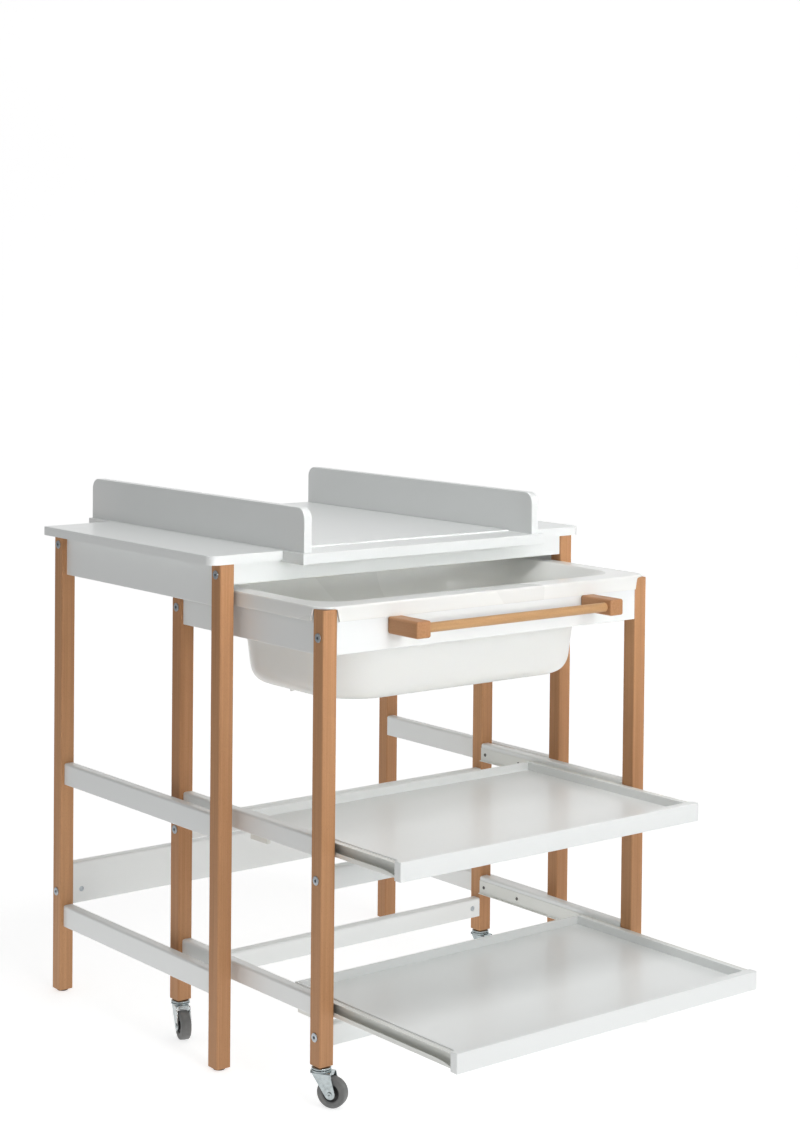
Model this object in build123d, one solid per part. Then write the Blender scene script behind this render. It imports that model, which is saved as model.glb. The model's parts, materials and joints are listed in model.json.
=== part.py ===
from build123d import *
import os

# Changing table with a bathtub trolley that rolls out from under it, in millimetres.
# +Z is up, the front faces -Y, X = 0 is the middle of the width. Heights start at the floor.
# While it is built, Y = 0 is the front face of the table's front legs; the finished pieces are
# then moved along Y so that the origin is the middle of the footprint.

# Driving dimensions: table
table_width = 800.0
table_depth = 549.0
table_leg_top = 852.0
leg_section = 28.0
leg_edge_radius = 2.5

# Driving dimensions: trolley
trolley_width = 724.0
trolley_depth = 442.0
trolley_leg_top = 801.0
caster_height = 66.5

# Driving dimensions: changing tray
changing_clear_width = 500.0
changing_base_depth = 700.0
changing_side_height = 76.0
changing_base_reach = 61.0

# Photographed pose: how far the trolley and the upper tray are pulled out, and how far the
# lower tray's shoes still are from the front cross rail that stops them
trolley_out = 236.0
upper_tray_out = 164.0
lower_tray_stop_gap = 30.0

# Clearances and small shared values
body_gap = 0.3
running_clearance = 0.05
cut_overrun = 1.0
edge_softening = 1.5

# Table details
glide_height = 4.0
glide_diameter = 21.0
glide_pin_diameter = 5.0
glide_pin_length = 14.0
board_thickness = 16.0
top_board_side_overhang = 20.0
top_board_front_overhang = 2.0
top_board_rear_overhang = 7.0
top_board_corner_radius = 18.0
top_board_rear_radius = 5.0
table_side_panel_height = 73.0
table_side_panel_inset = 10.0
apron_height = 35.0
apron_thickness = 18.0
apron_inset = 4.0
rail_thickness = 20.0
rail_top_radius = 4.0
table_rail_height = 40.0
table_rail_inset = 7.5
table_upper_rail_top = 428.0
table_lower_rail_top = 162.5
back_rail_bottom = 162.0
back_rail_height = 77.0
back_rail_inset = 1.0
back_rail_bolt_height = 25.0

# Changing tray details
changing_base_thickness = 19.0
changing_base_side_lip = 8.0
changing_side_setback = 9.0
changing_side_radius = 20.0
changing_liner_thickness = 2.5
changing_liner_setback = 62.0
changing_liner_play = 1.0

# Trolley details
trolley_panel_bottom = 727.0
trolley_panel_top = 802.8
trolley_side_panel_inset = 5.0
trolley_end_panel_inset = 1.0
trolley_end_panel_thickness = 18.0
trolley_rail_height = 32.0
trolley_rail_inset = 8.0
trolley_upper_rail_top = 433.0
trolley_lower_rail_top = 174.0
cross_rail_height = 36.0
cross_rail_inset = 7.0
upper_cross_rail_bottom = 348.0
lower_cross_rail_bottom = 95.0
panel_bolt_height = 756.0

# Handle
handle_block_width = 30.0
handle_block_height = 28.0
handle_block_depth = 76.0
handle_block_radius = 3.0
handle_spacing = 432.0
handle_centre_height = 767.0
handle_bar_diameter = 16.0
handle_bar_setback = 16.0
handle_bar_socket = 15.0
handle_screw_diameter = 4.5
handle_screw_head = 9.0
handle_screw_head_height = 3.0
handle_screw_length = 50.0
handle_screw_spread = 14.0

# Connector bolts and barrel nuts
bolt_diameter = 6.0
bolt_hole_clearance = 0.25
bolt_head_diameter = 15.0
bolt_head_height = 1.6
bolt_head_radius = 0.8
bolt_socket_size = 5.8
bolt_socket_depth = 1.2
bolt_reach = 26.0
bolt_end_room = 6.0
barrel_nut_diameter = 10.0
barrel_nut_recess = 0.6
barrel_nut_beyond_axis = 5.0
barrel_nut_setback = 18.0

# Casters
wheel_diameter = 50.0
wheel_width = 18.0
tyre_thickness = 11.0
tyre_shoulder = 4.0
wheel_trail = 20.0
hub_boss_diameter = 14.0
hub_boss_width = 20.0
axle_diameter = 6.0
axle_head_diameter = 11.0
axle_head_height = 3.0
fork_cheek_thickness = 2.0
fork_cheek_gap = 0.6
fork_axle_radius = 9.0
fork_plate_thickness = 2.5
fork_plate_drop = 11.0
fork_head_radius = 18.0
race_diameter = 33.0
stem_diameter = 8.0
stem_length = 34.0
front_left_swivel = -61.0
front_right_swivel = -78.0
rear_left_swivel = -108.0
rear_right_swivel = -84.0

# Pull-out trays and their runners
tray_front_height = 32.0
tray_front_thickness = 16.0
tray_front_side_play = 2.0
tray_top_drop = 5.0
tray_depth = 428.0
tray_body_drop = 1.5
tray_body_height = 20.0
tray_wall = 5.0
tray_floor = 5.0
tray_rim_softening = 1.0
runner_space = 13.0
runner_metal = 1.2
runner_height = 24.0
runner_drop = 32.0
runner_front_setback = 14.0
runner_lip_height = 8.0
runner_roller_setback = 12.0
runner_pin_diameter = 6.0
runner_shoe_length = 50.0
runner_shoe_setback = 18.0
runner_shoe_drop = 19.0
runner_shoe_thickness = 8.0
runner_screw_diameter = 3.5
runner_screw_head = 7.0
runner_screw_head_height = 1.8
runner_screw_length = 14.0
runner_screw_front_setback = 45.0
runner_screw_rear_setback = 12.5
runner_screw_pitch = 96.0

# Bathtub
tub_wall = 3.0
tub_rim_side_play = 0.5
tub_skirt_bottom = 781.0
tub_corner_radius = 30.0
tub_leg_play = 0.8
tub_mouth_side_gap = 8.0
tub_mouth_end_gap = 20.0
tub_mouth_corner_radius = 60.0
tub_shoulder_height = 31.0
tub_shoulder_side_step = 38.0
tub_shoulder_end_step = 8.0
tub_bowl_corner_radius = 104.0
tub_bowl_taper = 7.4
tub_bottom_height = 630.0
tub_bottom_radius = 28.0
drain_diameter = 20.0
drain_boss_diameter = 27.0
drain_boss_length = 6.0
drain_from_bowl_side = 73.0
drain_from_bowl_rear = 119.0
plug_flange_diameter = 30.0
plug_flange_height = 3.0
plug_clearance = 0.1
plug_tail_diameter = 7.0
plug_tail_length = 7.0
plug_grip_width = 14.0
plug_grip_height = 12.0
plug_grip_thickness = 4.0

# Worked-out positions: table
half_table = table_width / 2
half_trolley = trolley_width / 2
table_leg_inner = half_table - leg_section
rear_leg_front = table_depth - leg_section
top_surface = table_leg_top + board_thickness
half_clear = changing_clear_width / 2
half_changing = half_clear + board_thickness
half_base = half_changing + changing_base_side_lip
base_front = -changing_base_reach
base_rear = base_front + changing_base_depth
base_bottom = top_surface - changing_base_thickness

# Worked-out positions: trolley
trolley_front = -trolley_out
trolley_rear = trolley_front + trolley_depth
trolley_leg_inner = half_trolley - leg_section
trolley_rear_leg_front = trolley_rear - leg_section
bolt_line = leg_section / 2
shoe_front_reach = tray_depth - runner_shoe_setback - runner_shoe_length
lower_tray_out = shoe_front_reach - cross_rail_inset - rail_thickness - lower_tray_stop_gap
upper_tray_front = trolley_front - upper_tray_out
lower_tray_front = trolley_front - lower_tray_out
half_tray_front = trolley_leg_inner - tray_front_side_play
half_tray = trolley_leg_inner - runner_space

# Footprint: the lower tray's front face to the changing tray's rear edge
footprint_front = min(lower_tray_front, upper_tray_front, base_front)
footprint_rear = max(base_rear, table_depth + top_board_rear_overhang)
centre_shift = -(footprint_front + footprint_rear) / 2

SIDES = {"left": -1, "right": 1}


def slab(x0, x1, y0, y1, z0, z1):
    """Box between two opposite corners, given in either order."""
    centre = Pos((x0 + x1) / 2, (y0 + y1) / 2, (z0 + z1) / 2)
    return centre * Box(abs(x1 - x0), abs(y1 - y0), abs(z1 - z0))


def rod_x(x0, x1, y, z, diameter):
    """Cylinder along X from x0 to x1."""
    return Pos((x0 + x1) / 2, y, z) * Rot(0, 90, 0) * Cylinder(diameter / 2, abs(x1 - x0))


def rod_y(x, y0, y1, z, diameter):
    """Cylinder along Y from y0 to y1."""
    return Pos(x, (y0 + y1) / 2, z) * Rot(90, 0, 0) * Cylinder(diameter / 2, abs(y1 - y0))


def rod_z(x, y, z0, z1, diameter):
    """Cylinder along Z from z0 to z1."""
    return Pos(x, y, (z0 + z1) / 2) * Cylinder(diameter / 2, abs(z1 - z0))


def soften(shape, radius=edge_softening):
    """Round every edge of a plain board."""
    return fillet(shape.edges(), radius)


def soften_along(shape, axis):
    """Round the long edges of a board that runs along the given axis."""
    return fillet(shape.edges().filter_by(axis), edge_softening)


def round_top(shape, axis, radius):
    """Round the upper edges of a rail that runs along the given axis, and soften its lower ones."""
    top = shape.faces().sort_by(Axis.Z)[-1]
    shape = fillet(top.edges().filter_by(axis), radius)
    bottom = shape.faces().sort_by(Axis.Z)[0]
    return fillet(bottom.edges().filter_by(axis), edge_softening)


def cut_all(shape, tools):
    """Subtract several tools from a shape."""
    for tool in tools:
        shape = shape - tool
    return shape


# Connector bolts: a bolt runs along X through a leg into the end of a member, where a
# barrel nut lying along Y takes its thread.
def bolt(side, leg_outer, y, z):
    """One bolt, its head on the leg's outer face."""
    head_x = side * leg_outer
    tip_x = side * (leg_outer - leg_section - bolt_reach)
    outer_x = side * (leg_outer + bolt_head_height)
    shank = rod_x(head_x, tip_x, y, z, bolt_diameter)
    head = rod_x(head_x, outer_x, y, z, bolt_head_diameter)
    rim = head.faces().sort_by(Axis.X)[-1 if side > 0 else 0]
    head = fillet(rim.edges(), bolt_head_radius)
    socket_bottom = side * (leg_outer + bolt_head_height - bolt_socket_depth)
    socket = Plane(origin=(socket_bottom, y, z), x_dir=(0, 1, 0), z_dir=(side, 0, 0))
    hexagon = extrude(socket * RegularPolygon(bolt_socket_size / 2, 6), bolt_socket_depth + cut_overrun)
    return shank + head - hexagon


def bolt_leg_hole(side, leg_outer, y, z):
    """Clearance hole across a leg."""
    far = side * (leg_outer + cut_overrun)
    near = side * (leg_outer - leg_section - cut_overrun)
    return rod_x(near, far, y, z, bolt_diameter + 2 * bolt_hole_clearance)


def bolt_member_hole(side, leg_outer, y, z):
    """Hole in the end of the member that the bolt enters."""
    start = side * (leg_outer - leg_section + cut_overrun)
    end = side * (leg_outer - leg_section - bolt_reach - bolt_end_room)
    return rod_x(start, end, y, z, bolt_diameter + 2 * bolt_hole_clearance)


def nut_x(side, leg_outer):
    """Place of a barrel nut's axis along X."""
    return side * (leg_outer - leg_section - barrel_nut_setback)


def nut_ends(y, face):
    """Both ends of a barrel nut: just inside the member's face and beyond the bolt's axis."""
    into = 1 if y > face else -1
    return face + into * barrel_nut_recess, y + into * barrel_nut_beyond_axis


def barrel_nut(side, leg_outer, y, z, face):
    """One barrel nut with its cross hole."""
    start, end = nut_ends(y, face)
    x = nut_x(side, leg_outer)
    body = rod_y(x, start, end, z, barrel_nut_diameter)
    hole = bolt_diameter + 2 * running_clearance
    return body - rod_x(x - barrel_nut_diameter, x + barrel_nut_diameter, y, z, hole)


def barrel_nut_pocket(side, leg_outer, y, z, face):
    """Pocket for a barrel nut, drilled from the member's face."""
    start, end = nut_ends(y, face)
    outside = face - (1 if y > face else -1) * cut_overrun
    return rod_y(nut_x(side, leg_outer), outside, end, z, barrel_nut_diameter + 2 * running_clearance)


def member_cuts(leg_outer, y, z, face):
    """Bolt holes and nut pockets at both ends of a member."""
    cuts = []
    for side in SIDES.values():
        cuts.append(bolt_member_hole(side, leg_outer, y, z))
        cuts.append(barrel_nut_pocket(side, leg_outer, y, z, face))
    return cuts


# Table: heights and depths of its bolted members
apron_front_y = apron_inset
apron_rear_y = table_depth - apron_inset
apron_bottom = table_leg_top - apron_height
apron_bolt_z = apron_bottom + apron_height / 2
back_rail_front = rear_leg_front + back_rail_inset
back_rail_bolt_z = back_rail_bottom + back_rail_bolt_height
table_front_bolt_y = bolt_line
table_rear_bolt_y = table_depth - bolt_line

table_joints = [
    (table_front_bolt_y, apron_bolt_z, apron_front_y + apron_thickness),
    (table_rear_bolt_y, apron_bolt_z, apron_rear_y - apron_thickness),
    (table_rear_bolt_y, back_rail_bolt_z, back_rail_front),
]


def leg(side, leg_outer, y0, bottom, top):
    """Square leg with rounded long edges."""
    x_outer = side * leg_outer
    x_inner = side * (leg_outer - leg_section)
    post = slab(x_inner, x_outer, y0, y0 + leg_section, bottom, top)
    return fillet(post.edges().filter_by(Axis.Z), leg_edge_radius)


def table_leg(side, y0):
    """Table leg with its bolt holes and the glide's pin hole."""
    post = leg(side, half_table, y0, glide_height, table_leg_top)
    x = side * (half_table - leg_section / 2)
    y_centre = y0 + leg_section / 2
    pin_top = glide_height + glide_pin_length
    cuts = [rod_z(x, y_centre, glide_height - cut_overrun, pin_top, glide_pin_diameter)]
    for y, z, _ in table_joints:
        if y0 < y < y0 + leg_section:
            cuts.append(bolt_leg_hole(side, half_table, y, z))
    return cut_all(post, cuts)


def leg_glides():
    """Round glides under the four table legs, each with a pin."""
    glides = []
    for side in SIDES.values():
        x = side * (half_table - leg_section / 2)
        for y in (leg_section / 2, table_depth - leg_section / 2):
            foot = rod_z(x, y, 0, glide_height, glide_diameter)
            foot = fillet(foot.edges().sort_by(Axis.Z)[0], edge_softening)
            pin = rod_z(x, y, glide_height, glide_height + glide_pin_length, glide_pin_diameter)
            glides.append(foot + pin)
    return Compound(glides)


def table_side_panel(side):
    """Panel that joins the tops of the two legs of one side."""
    x_outer = side * (half_table - table_side_panel_inset)
    x_inner = side * (half_table - table_side_panel_inset - board_thickness)
    bottom = table_leg_top - table_side_panel_height
    panel = slab(x_inner, x_outer, leg_section, rear_leg_front, bottom, table_leg_top)
    return soften_along(panel, Axis.Y)


def table_side_rail(side, top):
    """Rail between the two legs of one side."""
    x_outer = side * (half_table - table_rail_inset)
    x_inner = side * (half_table - table_rail_inset - rail_thickness)
    rail = slab(x_inner, x_outer, leg_section, rear_leg_front, top - table_rail_height, top)
    return round_top(rail, Axis.Y, rail_top_radius)


def apron(y0, bolt_y, nut_face):
    """Front or rear apron, with the shallow recess that the changing tray drops into."""
    board = slab(-table_leg_inner, table_leg_inner, y0, y0 + apron_thickness, apron_bottom, table_leg_top)
    board = soften_along(board, Axis.X)
    reach = half_base + body_gap
    recess = slab(
        -reach,
        reach,
        y0 - cut_overrun,
        y0 + apron_thickness + cut_overrun,
        base_bottom,
        table_leg_top + cut_overrun,
    )
    return cut_all(board - recess, member_cuts(half_table, bolt_y, apron_bolt_z, nut_face))


def back_rail():
    """Low rail between the rear legs."""
    rail = slab(
        -table_leg_inner,
        table_leg_inner,
        back_rail_front,
        back_rail_front + rail_thickness,
        back_rail_bottom,
        back_rail_bottom + back_rail_height,
    )
    rail = round_top(rail, Axis.X, rail_top_radius)
    return cut_all(rail, member_cuts(half_table, table_rear_bolt_y, back_rail_bolt_z, back_rail_front))


def top_board(side):
    """Top board beside the changing tray, rounded at its outer corners."""
    outer = half_table + top_board_side_overhang
    inner = half_base + body_gap
    y0 = -top_board_front_overhang
    y1 = table_depth + top_board_rear_overhang
    board = slab(side * inner, side * outer, y0, y1, table_leg_top, top_surface)
    uprights = board.edges().filter_by(Axis.Z).sort_by(Axis.X)
    outer_edges = (uprights[-2:] if side > 0 else uprights[:2]).sort_by(Axis.Y)
    board = fillet(outer_edges[0], top_board_corner_radius)
    uprights = board.edges().filter_by(Axis.Z).sort_by(Axis.Y)
    rear_edges = uprights[-2:].sort_by(Axis.X)
    board = fillet(rear_edges[-1 if side > 0 else 0], top_board_rear_radius)
    top = board.faces().sort_by(Axis.Z)[-1]
    return fillet(top.edges(), edge_softening)


def table_bolts():
    """Bolts of the aprons and the back rail."""
    return Compound([bolt(s, half_table, y, z) for s in SIDES.values() for y, z, _ in table_joints])


def table_barrel_nuts():
    """Barrel nuts of the aprons and the back rail."""
    nuts = [barrel_nut(s, half_table, y, z, f) for s in SIDES.values() for y, z, f in table_joints]
    return Compound(nuts)


# Changing tray: a base between the top boards, two upright sides and a thin liner
def changing_base():
    """Base board of the changing tray, level with the top boards."""
    board = slab(-half_base, half_base, base_front, base_rear, base_bottom, top_surface)
    return soften(board)


def changing_side(side):
    """Upright side board with rounded upper corners, flush with the base's rear edge."""
    y0 = base_front + changing_side_setback
    top = top_surface + changing_side_height
    board = slab(side * half_clear, side * half_changing, y0, base_rear, top_surface, top)
    upper = board.faces().sort_by(Axis.Z)[-1].edges().filter_by(Axis.X)
    board = fillet(upper, changing_side_radius)
    top_run = board.edges().filter_by(Axis.Y).group_by(Axis.Z)[-1]
    return fillet(top_run, edge_softening)


def changing_liner():
    """Thin bottom panel that lies on the base between the side boards."""
    reach = half_clear - changing_liner_play
    y0 = base_front + changing_side_setback + changing_liner_setback
    return slab(-reach, reach, y0, base_rear, top_surface, top_surface + changing_liner_thickness)


# Trolley: heights and depths of its bolted members
front_bolt_y = trolley_front + bolt_line
rear_bolt_y = trolley_rear - bolt_line
front_panel_back = trolley_front + trolley_end_panel_inset + trolley_end_panel_thickness
rear_panel_front = trolley_rear - trolley_end_panel_inset - trolley_end_panel_thickness
front_rail_front = trolley_front + cross_rail_inset
front_rail_back = front_rail_front + rail_thickness
rear_rail_front = trolley_rear - cross_rail_inset - rail_thickness
upper_cross_bolt_z = upper_cross_rail_bottom + cross_rail_height / 2
lower_cross_bolt_z = lower_cross_rail_bottom + cross_rail_height / 2

trolley_joints = [
    (front_bolt_y, panel_bolt_height, front_panel_back),
    (rear_bolt_y, panel_bolt_height, rear_panel_front),
    (front_bolt_y, upper_cross_bolt_z, front_rail_back),
    (front_bolt_y, lower_cross_bolt_z, front_rail_back),
    (rear_bolt_y, upper_cross_bolt_z, rear_rail_front),
    (rear_bolt_y, lower_cross_bolt_z, rear_rail_front),
]


def trolley_leg(side, y0):
    """Trolley leg with its bolt holes and the bore for the caster's stem."""
    post = leg(side, half_trolley, y0, caster_height, trolley_leg_top)
    x = side * (half_trolley - leg_section / 2)
    bore_top = caster_height + stem_length + cut_overrun
    bore = stem_diameter + 2 * running_clearance
    cuts = [rod_z(x, y0 + leg_section / 2, caster_height - cut_overrun, bore_top, bore)]
    for y, z, _ in trolley_joints:
        if y0 < y < y0 + leg_section:
            cuts.append(bolt_leg_hole(side, half_trolley, y, z))
    return cut_all(post, cuts)


def trolley_side_panel(side):
    """Panel between the tops of the two legs of one side."""
    x_outer = side * (half_trolley - trolley_side_panel_inset)
    x_inner = side * (half_trolley - trolley_side_panel_inset - board_thickness)
    y0 = trolley_front + leg_section
    panel = slab(x_inner, x_outer, y0, trolley_rear_leg_front, trolley_panel_bottom, trolley_panel_top)
    return soften_along(panel, Axis.Y)


def handle_screw_places():
    """X and Z of the screws that hold the handle blocks."""
    xs = [s * handle_spacing / 2 for s in SIDES.values()]
    zs = [handle_centre_height + s * handle_screw_spread / 2 for s in SIDES.values()]
    return [(x, z) for x in xs for z in zs]


def handle_screw(x, z):
    """Pan-head screw from behind the front panel into a handle block."""
    tip = front_panel_back - handle_screw_length
    shank = rod_y(x, front_panel_back, tip, z, handle_screw_diameter)
    head = rod_y(x, front_panel_back, front_panel_back + handle_screw_head_height, z, handle_screw_head)
    return shank + head


def trolley_front_panel():
    """Front panel that carries the handle."""
    y0 = trolley_front + trolley_end_panel_inset
    reach = trolley_leg_inner
    panel = slab(-reach, reach, y0, front_panel_back, trolley_panel_bottom, trolley_panel_top)
    panel = soften_along(panel, Axis.X)
    cuts = member_cuts(half_trolley, front_bolt_y, panel_bolt_height, front_panel_back)
    cuts += [handle_screw(x, z) for x, z in handle_screw_places()]
    return cut_all(panel, cuts)


def trolley_rear_panel():
    """Rear panel of the trolley."""
    y1 = trolley_rear - trolley_end_panel_inset
    reach = trolley_leg_inner
    panel = slab(-reach, reach, rear_panel_front, y1, trolley_panel_bottom, trolley_panel_top)
    panel = soften_along(panel, Axis.X)
    return cut_all(panel, member_cuts(half_trolley, rear_bolt_y, panel_bolt_height, rear_panel_front))


def cross_rail(y0, bolt_y, bottom, bolt_z, nut_face):
    """Rail across the trolley between two legs."""
    reach = trolley_leg_inner
    rail = slab(-reach, reach, y0, y0 + rail_thickness, bottom, bottom + cross_rail_height)
    rail = round_top(rail, Axis.X, rail_top_radius)
    return cut_all(rail, member_cuts(half_trolley, bolt_y, bolt_z, nut_face))


def trolley_bolts():
    """Bolts of the trolley's panels and cross rails."""
    return Compound([bolt(s, half_trolley, y, z) for s in SIDES.values() for y, z, _ in trolley_joints])


def trolley_barrel_nuts():
    """Barrel nuts of the trolley's panels and cross rails."""
    nuts = [barrel_nut(s, half_trolley, y, z, f) for s in SIDES.values() for y, z, f in trolley_joints]
    return Compound(nuts)


# Runners: a C-shaped channel on each side of a tray, open outwards, slides over a roller and
# along a narrow ledge, both on a sheet-steel web that is screwed to the side rail.
runner_y0 = trolley_front + leg_section + runner_front_setback
runner_y1 = trolley_rear_leg_front
runner_screw_ys = [
    runner_y0 + runner_screw_front_setback,
    runner_y1 - runner_screw_rear_setback - runner_screw_pitch,
    runner_y1 - runner_screw_rear_setback,
]
runner_web_face = trolley_leg_inner - runner_metal
runner_tip = runner_web_face - body_gap
rail_tops = {"upper": trolley_upper_rail_top, "lower": trolley_lower_rail_top}


def runner_bottom(level):
    """Height of the underside of the channels of one tray."""
    return rail_tops[level] - runner_drop


def runner_screw(side, y, z):
    """Small pan-head screw through a runner's web into the side rail."""
    face = runner_web_face
    shank = rod_x(side * face, side * (face + runner_screw_length), y, z, runner_screw_diameter)
    head = rod_x(side * (face - runner_screw_head_height), side * face, y, z, runner_screw_head)
    return shank + head


def level_screws(side, level):
    """Screws of one web; their heads lie between the channel's flanges."""
    z = runner_bottom(level) + runner_height / 2
    return [runner_screw(side, y, z) for y in runner_screw_ys]


def fixed_runner(side, level):
    """Web on the inner face of a side rail, with the ledge and the roller that carry the channel."""
    bottom = runner_bottom(level)
    top = bottom + runner_height
    ledge_top = bottom - body_gap
    ledge_tip = half_tray + runner_shoe_thickness + body_gap
    face = runner_web_face
    web = slab(side * face, side * trolley_leg_inner, runner_y0, runner_y1, ledge_top - runner_metal, top)
    ledge = slab(side * ledge_tip, side * face, runner_y0, runner_y1, ledge_top - runner_metal, ledge_top)
    roller_start = half_tray + runner_metal + body_gap
    roller_end = runner_tip - runner_metal - body_gap
    roller_diameter = runner_height - 2 * (runner_metal + body_gap)
    roller_y = runner_y0 + runner_roller_setback
    middle = (bottom + top) / 2
    roller = rod_x(side * roller_start, side * roller_end, roller_y, middle, roller_diameter)
    pin = rod_x(side * roller_start, side * face, roller_y, middle, runner_pin_diameter)
    return cut_all(web + ledge + roller + pin, level_screws(side, level))


def fixed_runners():
    """The four webs with their ledges and rollers."""
    return Compound([fixed_runner(s, level) for s in SIDES.values() for level in rail_tops])


def runner_screws():
    """All screws of the runner webs and of the handle blocks."""
    screws = [k for s in SIDES.values() for level in rail_tops for k in level_screws(s, level)]
    screws += [handle_screw(x, z) for x, z in handle_screw_places()]
    return Compound(screws)


def trolley_side_rail(side, level):
    """Rail between the two legs of one side, flush with their inner faces."""
    x_outer = side * (half_trolley - trolley_rail_inset)
    x_inner = side * trolley_leg_inner
    top = rail_tops[level]
    y0 = trolley_front + leg_section
    rail = slab(x_inner, x_outer, y0, trolley_rear_leg_front, top - trolley_rail_height, top)
    rail = round_top(rail, Axis.Y, rail_top_radius)
    return cut_all(rail, level_screws(side, level))


# Handle: two blocks on the front panel and a round bar between them
handle_back = trolley_front + trolley_end_panel_inset
handle_front = handle_back - handle_block_depth
handle_bar_y = handle_front + handle_bar_setback


def handle_block(side):
    """Block that stands out from the front panel, with a blind socket for the bar."""
    x = side * handle_spacing / 2
    block = slab(
        x - handle_block_width / 2,
        x + handle_block_width / 2,
        handle_front,
        handle_back,
        handle_centre_height - handle_block_height / 2,
        handle_centre_height + handle_block_height / 2,
    )
    block = fillet(block.edges().filter_by(Axis.Y), handle_block_radius)
    front = block.faces().sort_by(Axis.Y)[0]
    block = fillet(front.edges(), edge_softening)
    cuts = [handle_bar()]
    cuts += [handle_screw(hx, hz) for hx, hz in handle_screw_places() if hx * side > 0]
    return cut_all(block, cuts)


def handle_bar():
    """Round bar let into both blocks."""
    reach = handle_spacing / 2 - handle_block_width / 2 + handle_bar_socket
    return rod_x(-reach, reach, handle_bar_y, handle_centre_height, handle_bar_diameter)


# Casters, drawn with the stem on the Z axis and the wheel trailing along +X
axle_height = wheel_diameter / 2
fork_plate_top = caster_height - fork_plate_drop + fork_plate_thickness
cheek_inner = hub_boss_width / 2 + fork_cheek_gap
cheek_outer = cheek_inner + fork_cheek_thickness


def fork_cheek():
    """One cheek of the fork, from the plate down round the axle."""
    bottom = Pos(wheel_trail, axle_height) * Circle(fork_axle_radius)
    top = Pos(0, fork_plate_top - fork_plate_thickness / 2)
    bar = top * Rectangle(2 * fork_head_radius, fork_plate_thickness)
    outline = make_hull((bottom + bar).edges())
    return extrude(Plane.XZ * outline, fork_cheek_thickness / 2, both=True)


def caster_frame():
    """Fork, race and stem in one piece, and the axle that is riveted into it."""
    offset = (cheek_inner + cheek_outer) / 2
    cheeks = Pos(0, -offset, 0) * fork_cheek() + Pos(0, offset, 0) * fork_cheek()
    plate_bottom = fork_plate_top - fork_plate_thickness
    plate = slab(-fork_head_radius, fork_head_radius, -cheek_outer, cheek_outer, plate_bottom, fork_plate_top)
    race = rod_z(0, 0, fork_plate_top, caster_height - body_gap, race_diameter)
    stem = rod_z(0, 0, caster_height - body_gap, caster_height + stem_length, stem_diameter)
    hole = axle_diameter + 2 * running_clearance
    axle_hole = rod_y(wheel_trail, -race_diameter, race_diameter, axle_height, hole)
    frame = cheeks + plate + race + stem - axle_hole
    head_y = cheek_outer + axle_head_height
    axle = rod_y(wheel_trail, -head_y, head_y, axle_height, axle_diameter)
    axle = axle + rod_y(wheel_trail, -head_y, -cheek_outer, axle_height, axle_head_diameter)
    axle = axle + rod_y(wheel_trail, cheek_outer, head_y, axle_height, axle_head_diameter)
    return Compound([frame, axle])


def caster_wheel():
    """Rubber tyre and the plastic hub inside it."""
    outer = wheel_diameter / 2
    tyre = rod_y(wheel_trail, -wheel_width / 2, wheel_width / 2, axle_height, wheel_diameter)
    tyre = fillet(tyre.edges(), tyre_shoulder)
    hub_diameter = wheel_diameter - 2 * tyre_thickness
    tyre = tyre - rod_y(wheel_trail, -outer, outer, axle_height, hub_diameter)
    hub_side = wheel_width / 2 - edge_softening
    hub = rod_y(wheel_trail, -hub_side, hub_side, axle_height, hub_diameter)
    hub = hub + rod_y(wheel_trail, -hub_boss_width / 2, hub_boss_width / 2, axle_height, hub_boss_diameter)
    bore = axle_diameter + 2 * running_clearance
    hub = hub - rod_y(wheel_trail, -outer, outer, axle_height, bore)
    return Compound([tyre, hub])


caster_places = {
    "front_left": (-1, trolley_front + leg_section / 2, front_left_swivel),
    "front_right": (1, trolley_front + leg_section / 2, front_right_swivel),
    "rear_left": (-1, trolley_rear - leg_section / 2, rear_left_swivel),
    "rear_right": (1, trolley_rear - leg_section / 2, rear_right_swivel),
}


def place_caster(shape, corner):
    """Turn a caster piece to its swivel angle and set it under its leg."""
    side, y, angle = caster_places[corner]
    return Pos(side * (half_trolley - leg_section / 2), y, 0) * Rot(0, 0, angle) * shape


# Pull-out trays
def tray_top(level):
    """Height of the top of a tray's front panel."""
    return rail_tops[level] - tray_top_drop


def tray_front_panel(front, level):
    """Front panel of a tray."""
    top = tray_top(level)
    panel = slab(
        -half_tray_front,
        half_tray_front,
        front,
        front + tray_front_thickness,
        top - tray_front_height,
        top,
    )
    return soften(panel)


def tray_body(front, level):
    """Tray floor with a raised rim at its sides and back."""
    top = tray_top(level) - tray_body_drop
    y0 = front + tray_front_thickness
    y1 = front + tray_depth
    bottom = top - tray_body_height
    body = slab(-half_tray, half_tray, y0, y1, bottom, top)
    inner = half_tray - tray_wall
    hollow = slab(-inner, inner, y0 - cut_overrun, y1 - tray_wall, bottom + tray_floor, top + cut_overrun)
    body = body - hollow
    top_edges = body.edges().group_by(Axis.Z)[-1]
    rim_edges = [edge for edge in top_edges if edge.center().Y > y0 + tray_wall]
    return fillet(rim_edges, tray_rim_softening)


def tray_runner(side, front, level):
    """C-shaped channel on one side of a tray, open outwards above a low lip, with its shoe."""
    y0 = front + tray_front_thickness
    y1 = front + tray_depth
    z0 = runner_bottom(level)
    z1 = z0 + runner_height
    web = slab(side * half_tray, side * (half_tray + runner_metal), y0, y1, z0, z1)
    low = slab(side * half_tray, side * runner_tip, y0, y1, z0, z0 + runner_metal)
    high = slab(side * half_tray, side * runner_tip, y0, y1, z1 - runner_metal, z1)
    lip_inner = runner_tip - runner_metal
    lip = slab(side * lip_inner, side * runner_tip, y0, y1, z0, z0 + runner_lip_height)
    return web + low + high + lip + tray_runner_shoe(side, front, level, z0)


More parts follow.
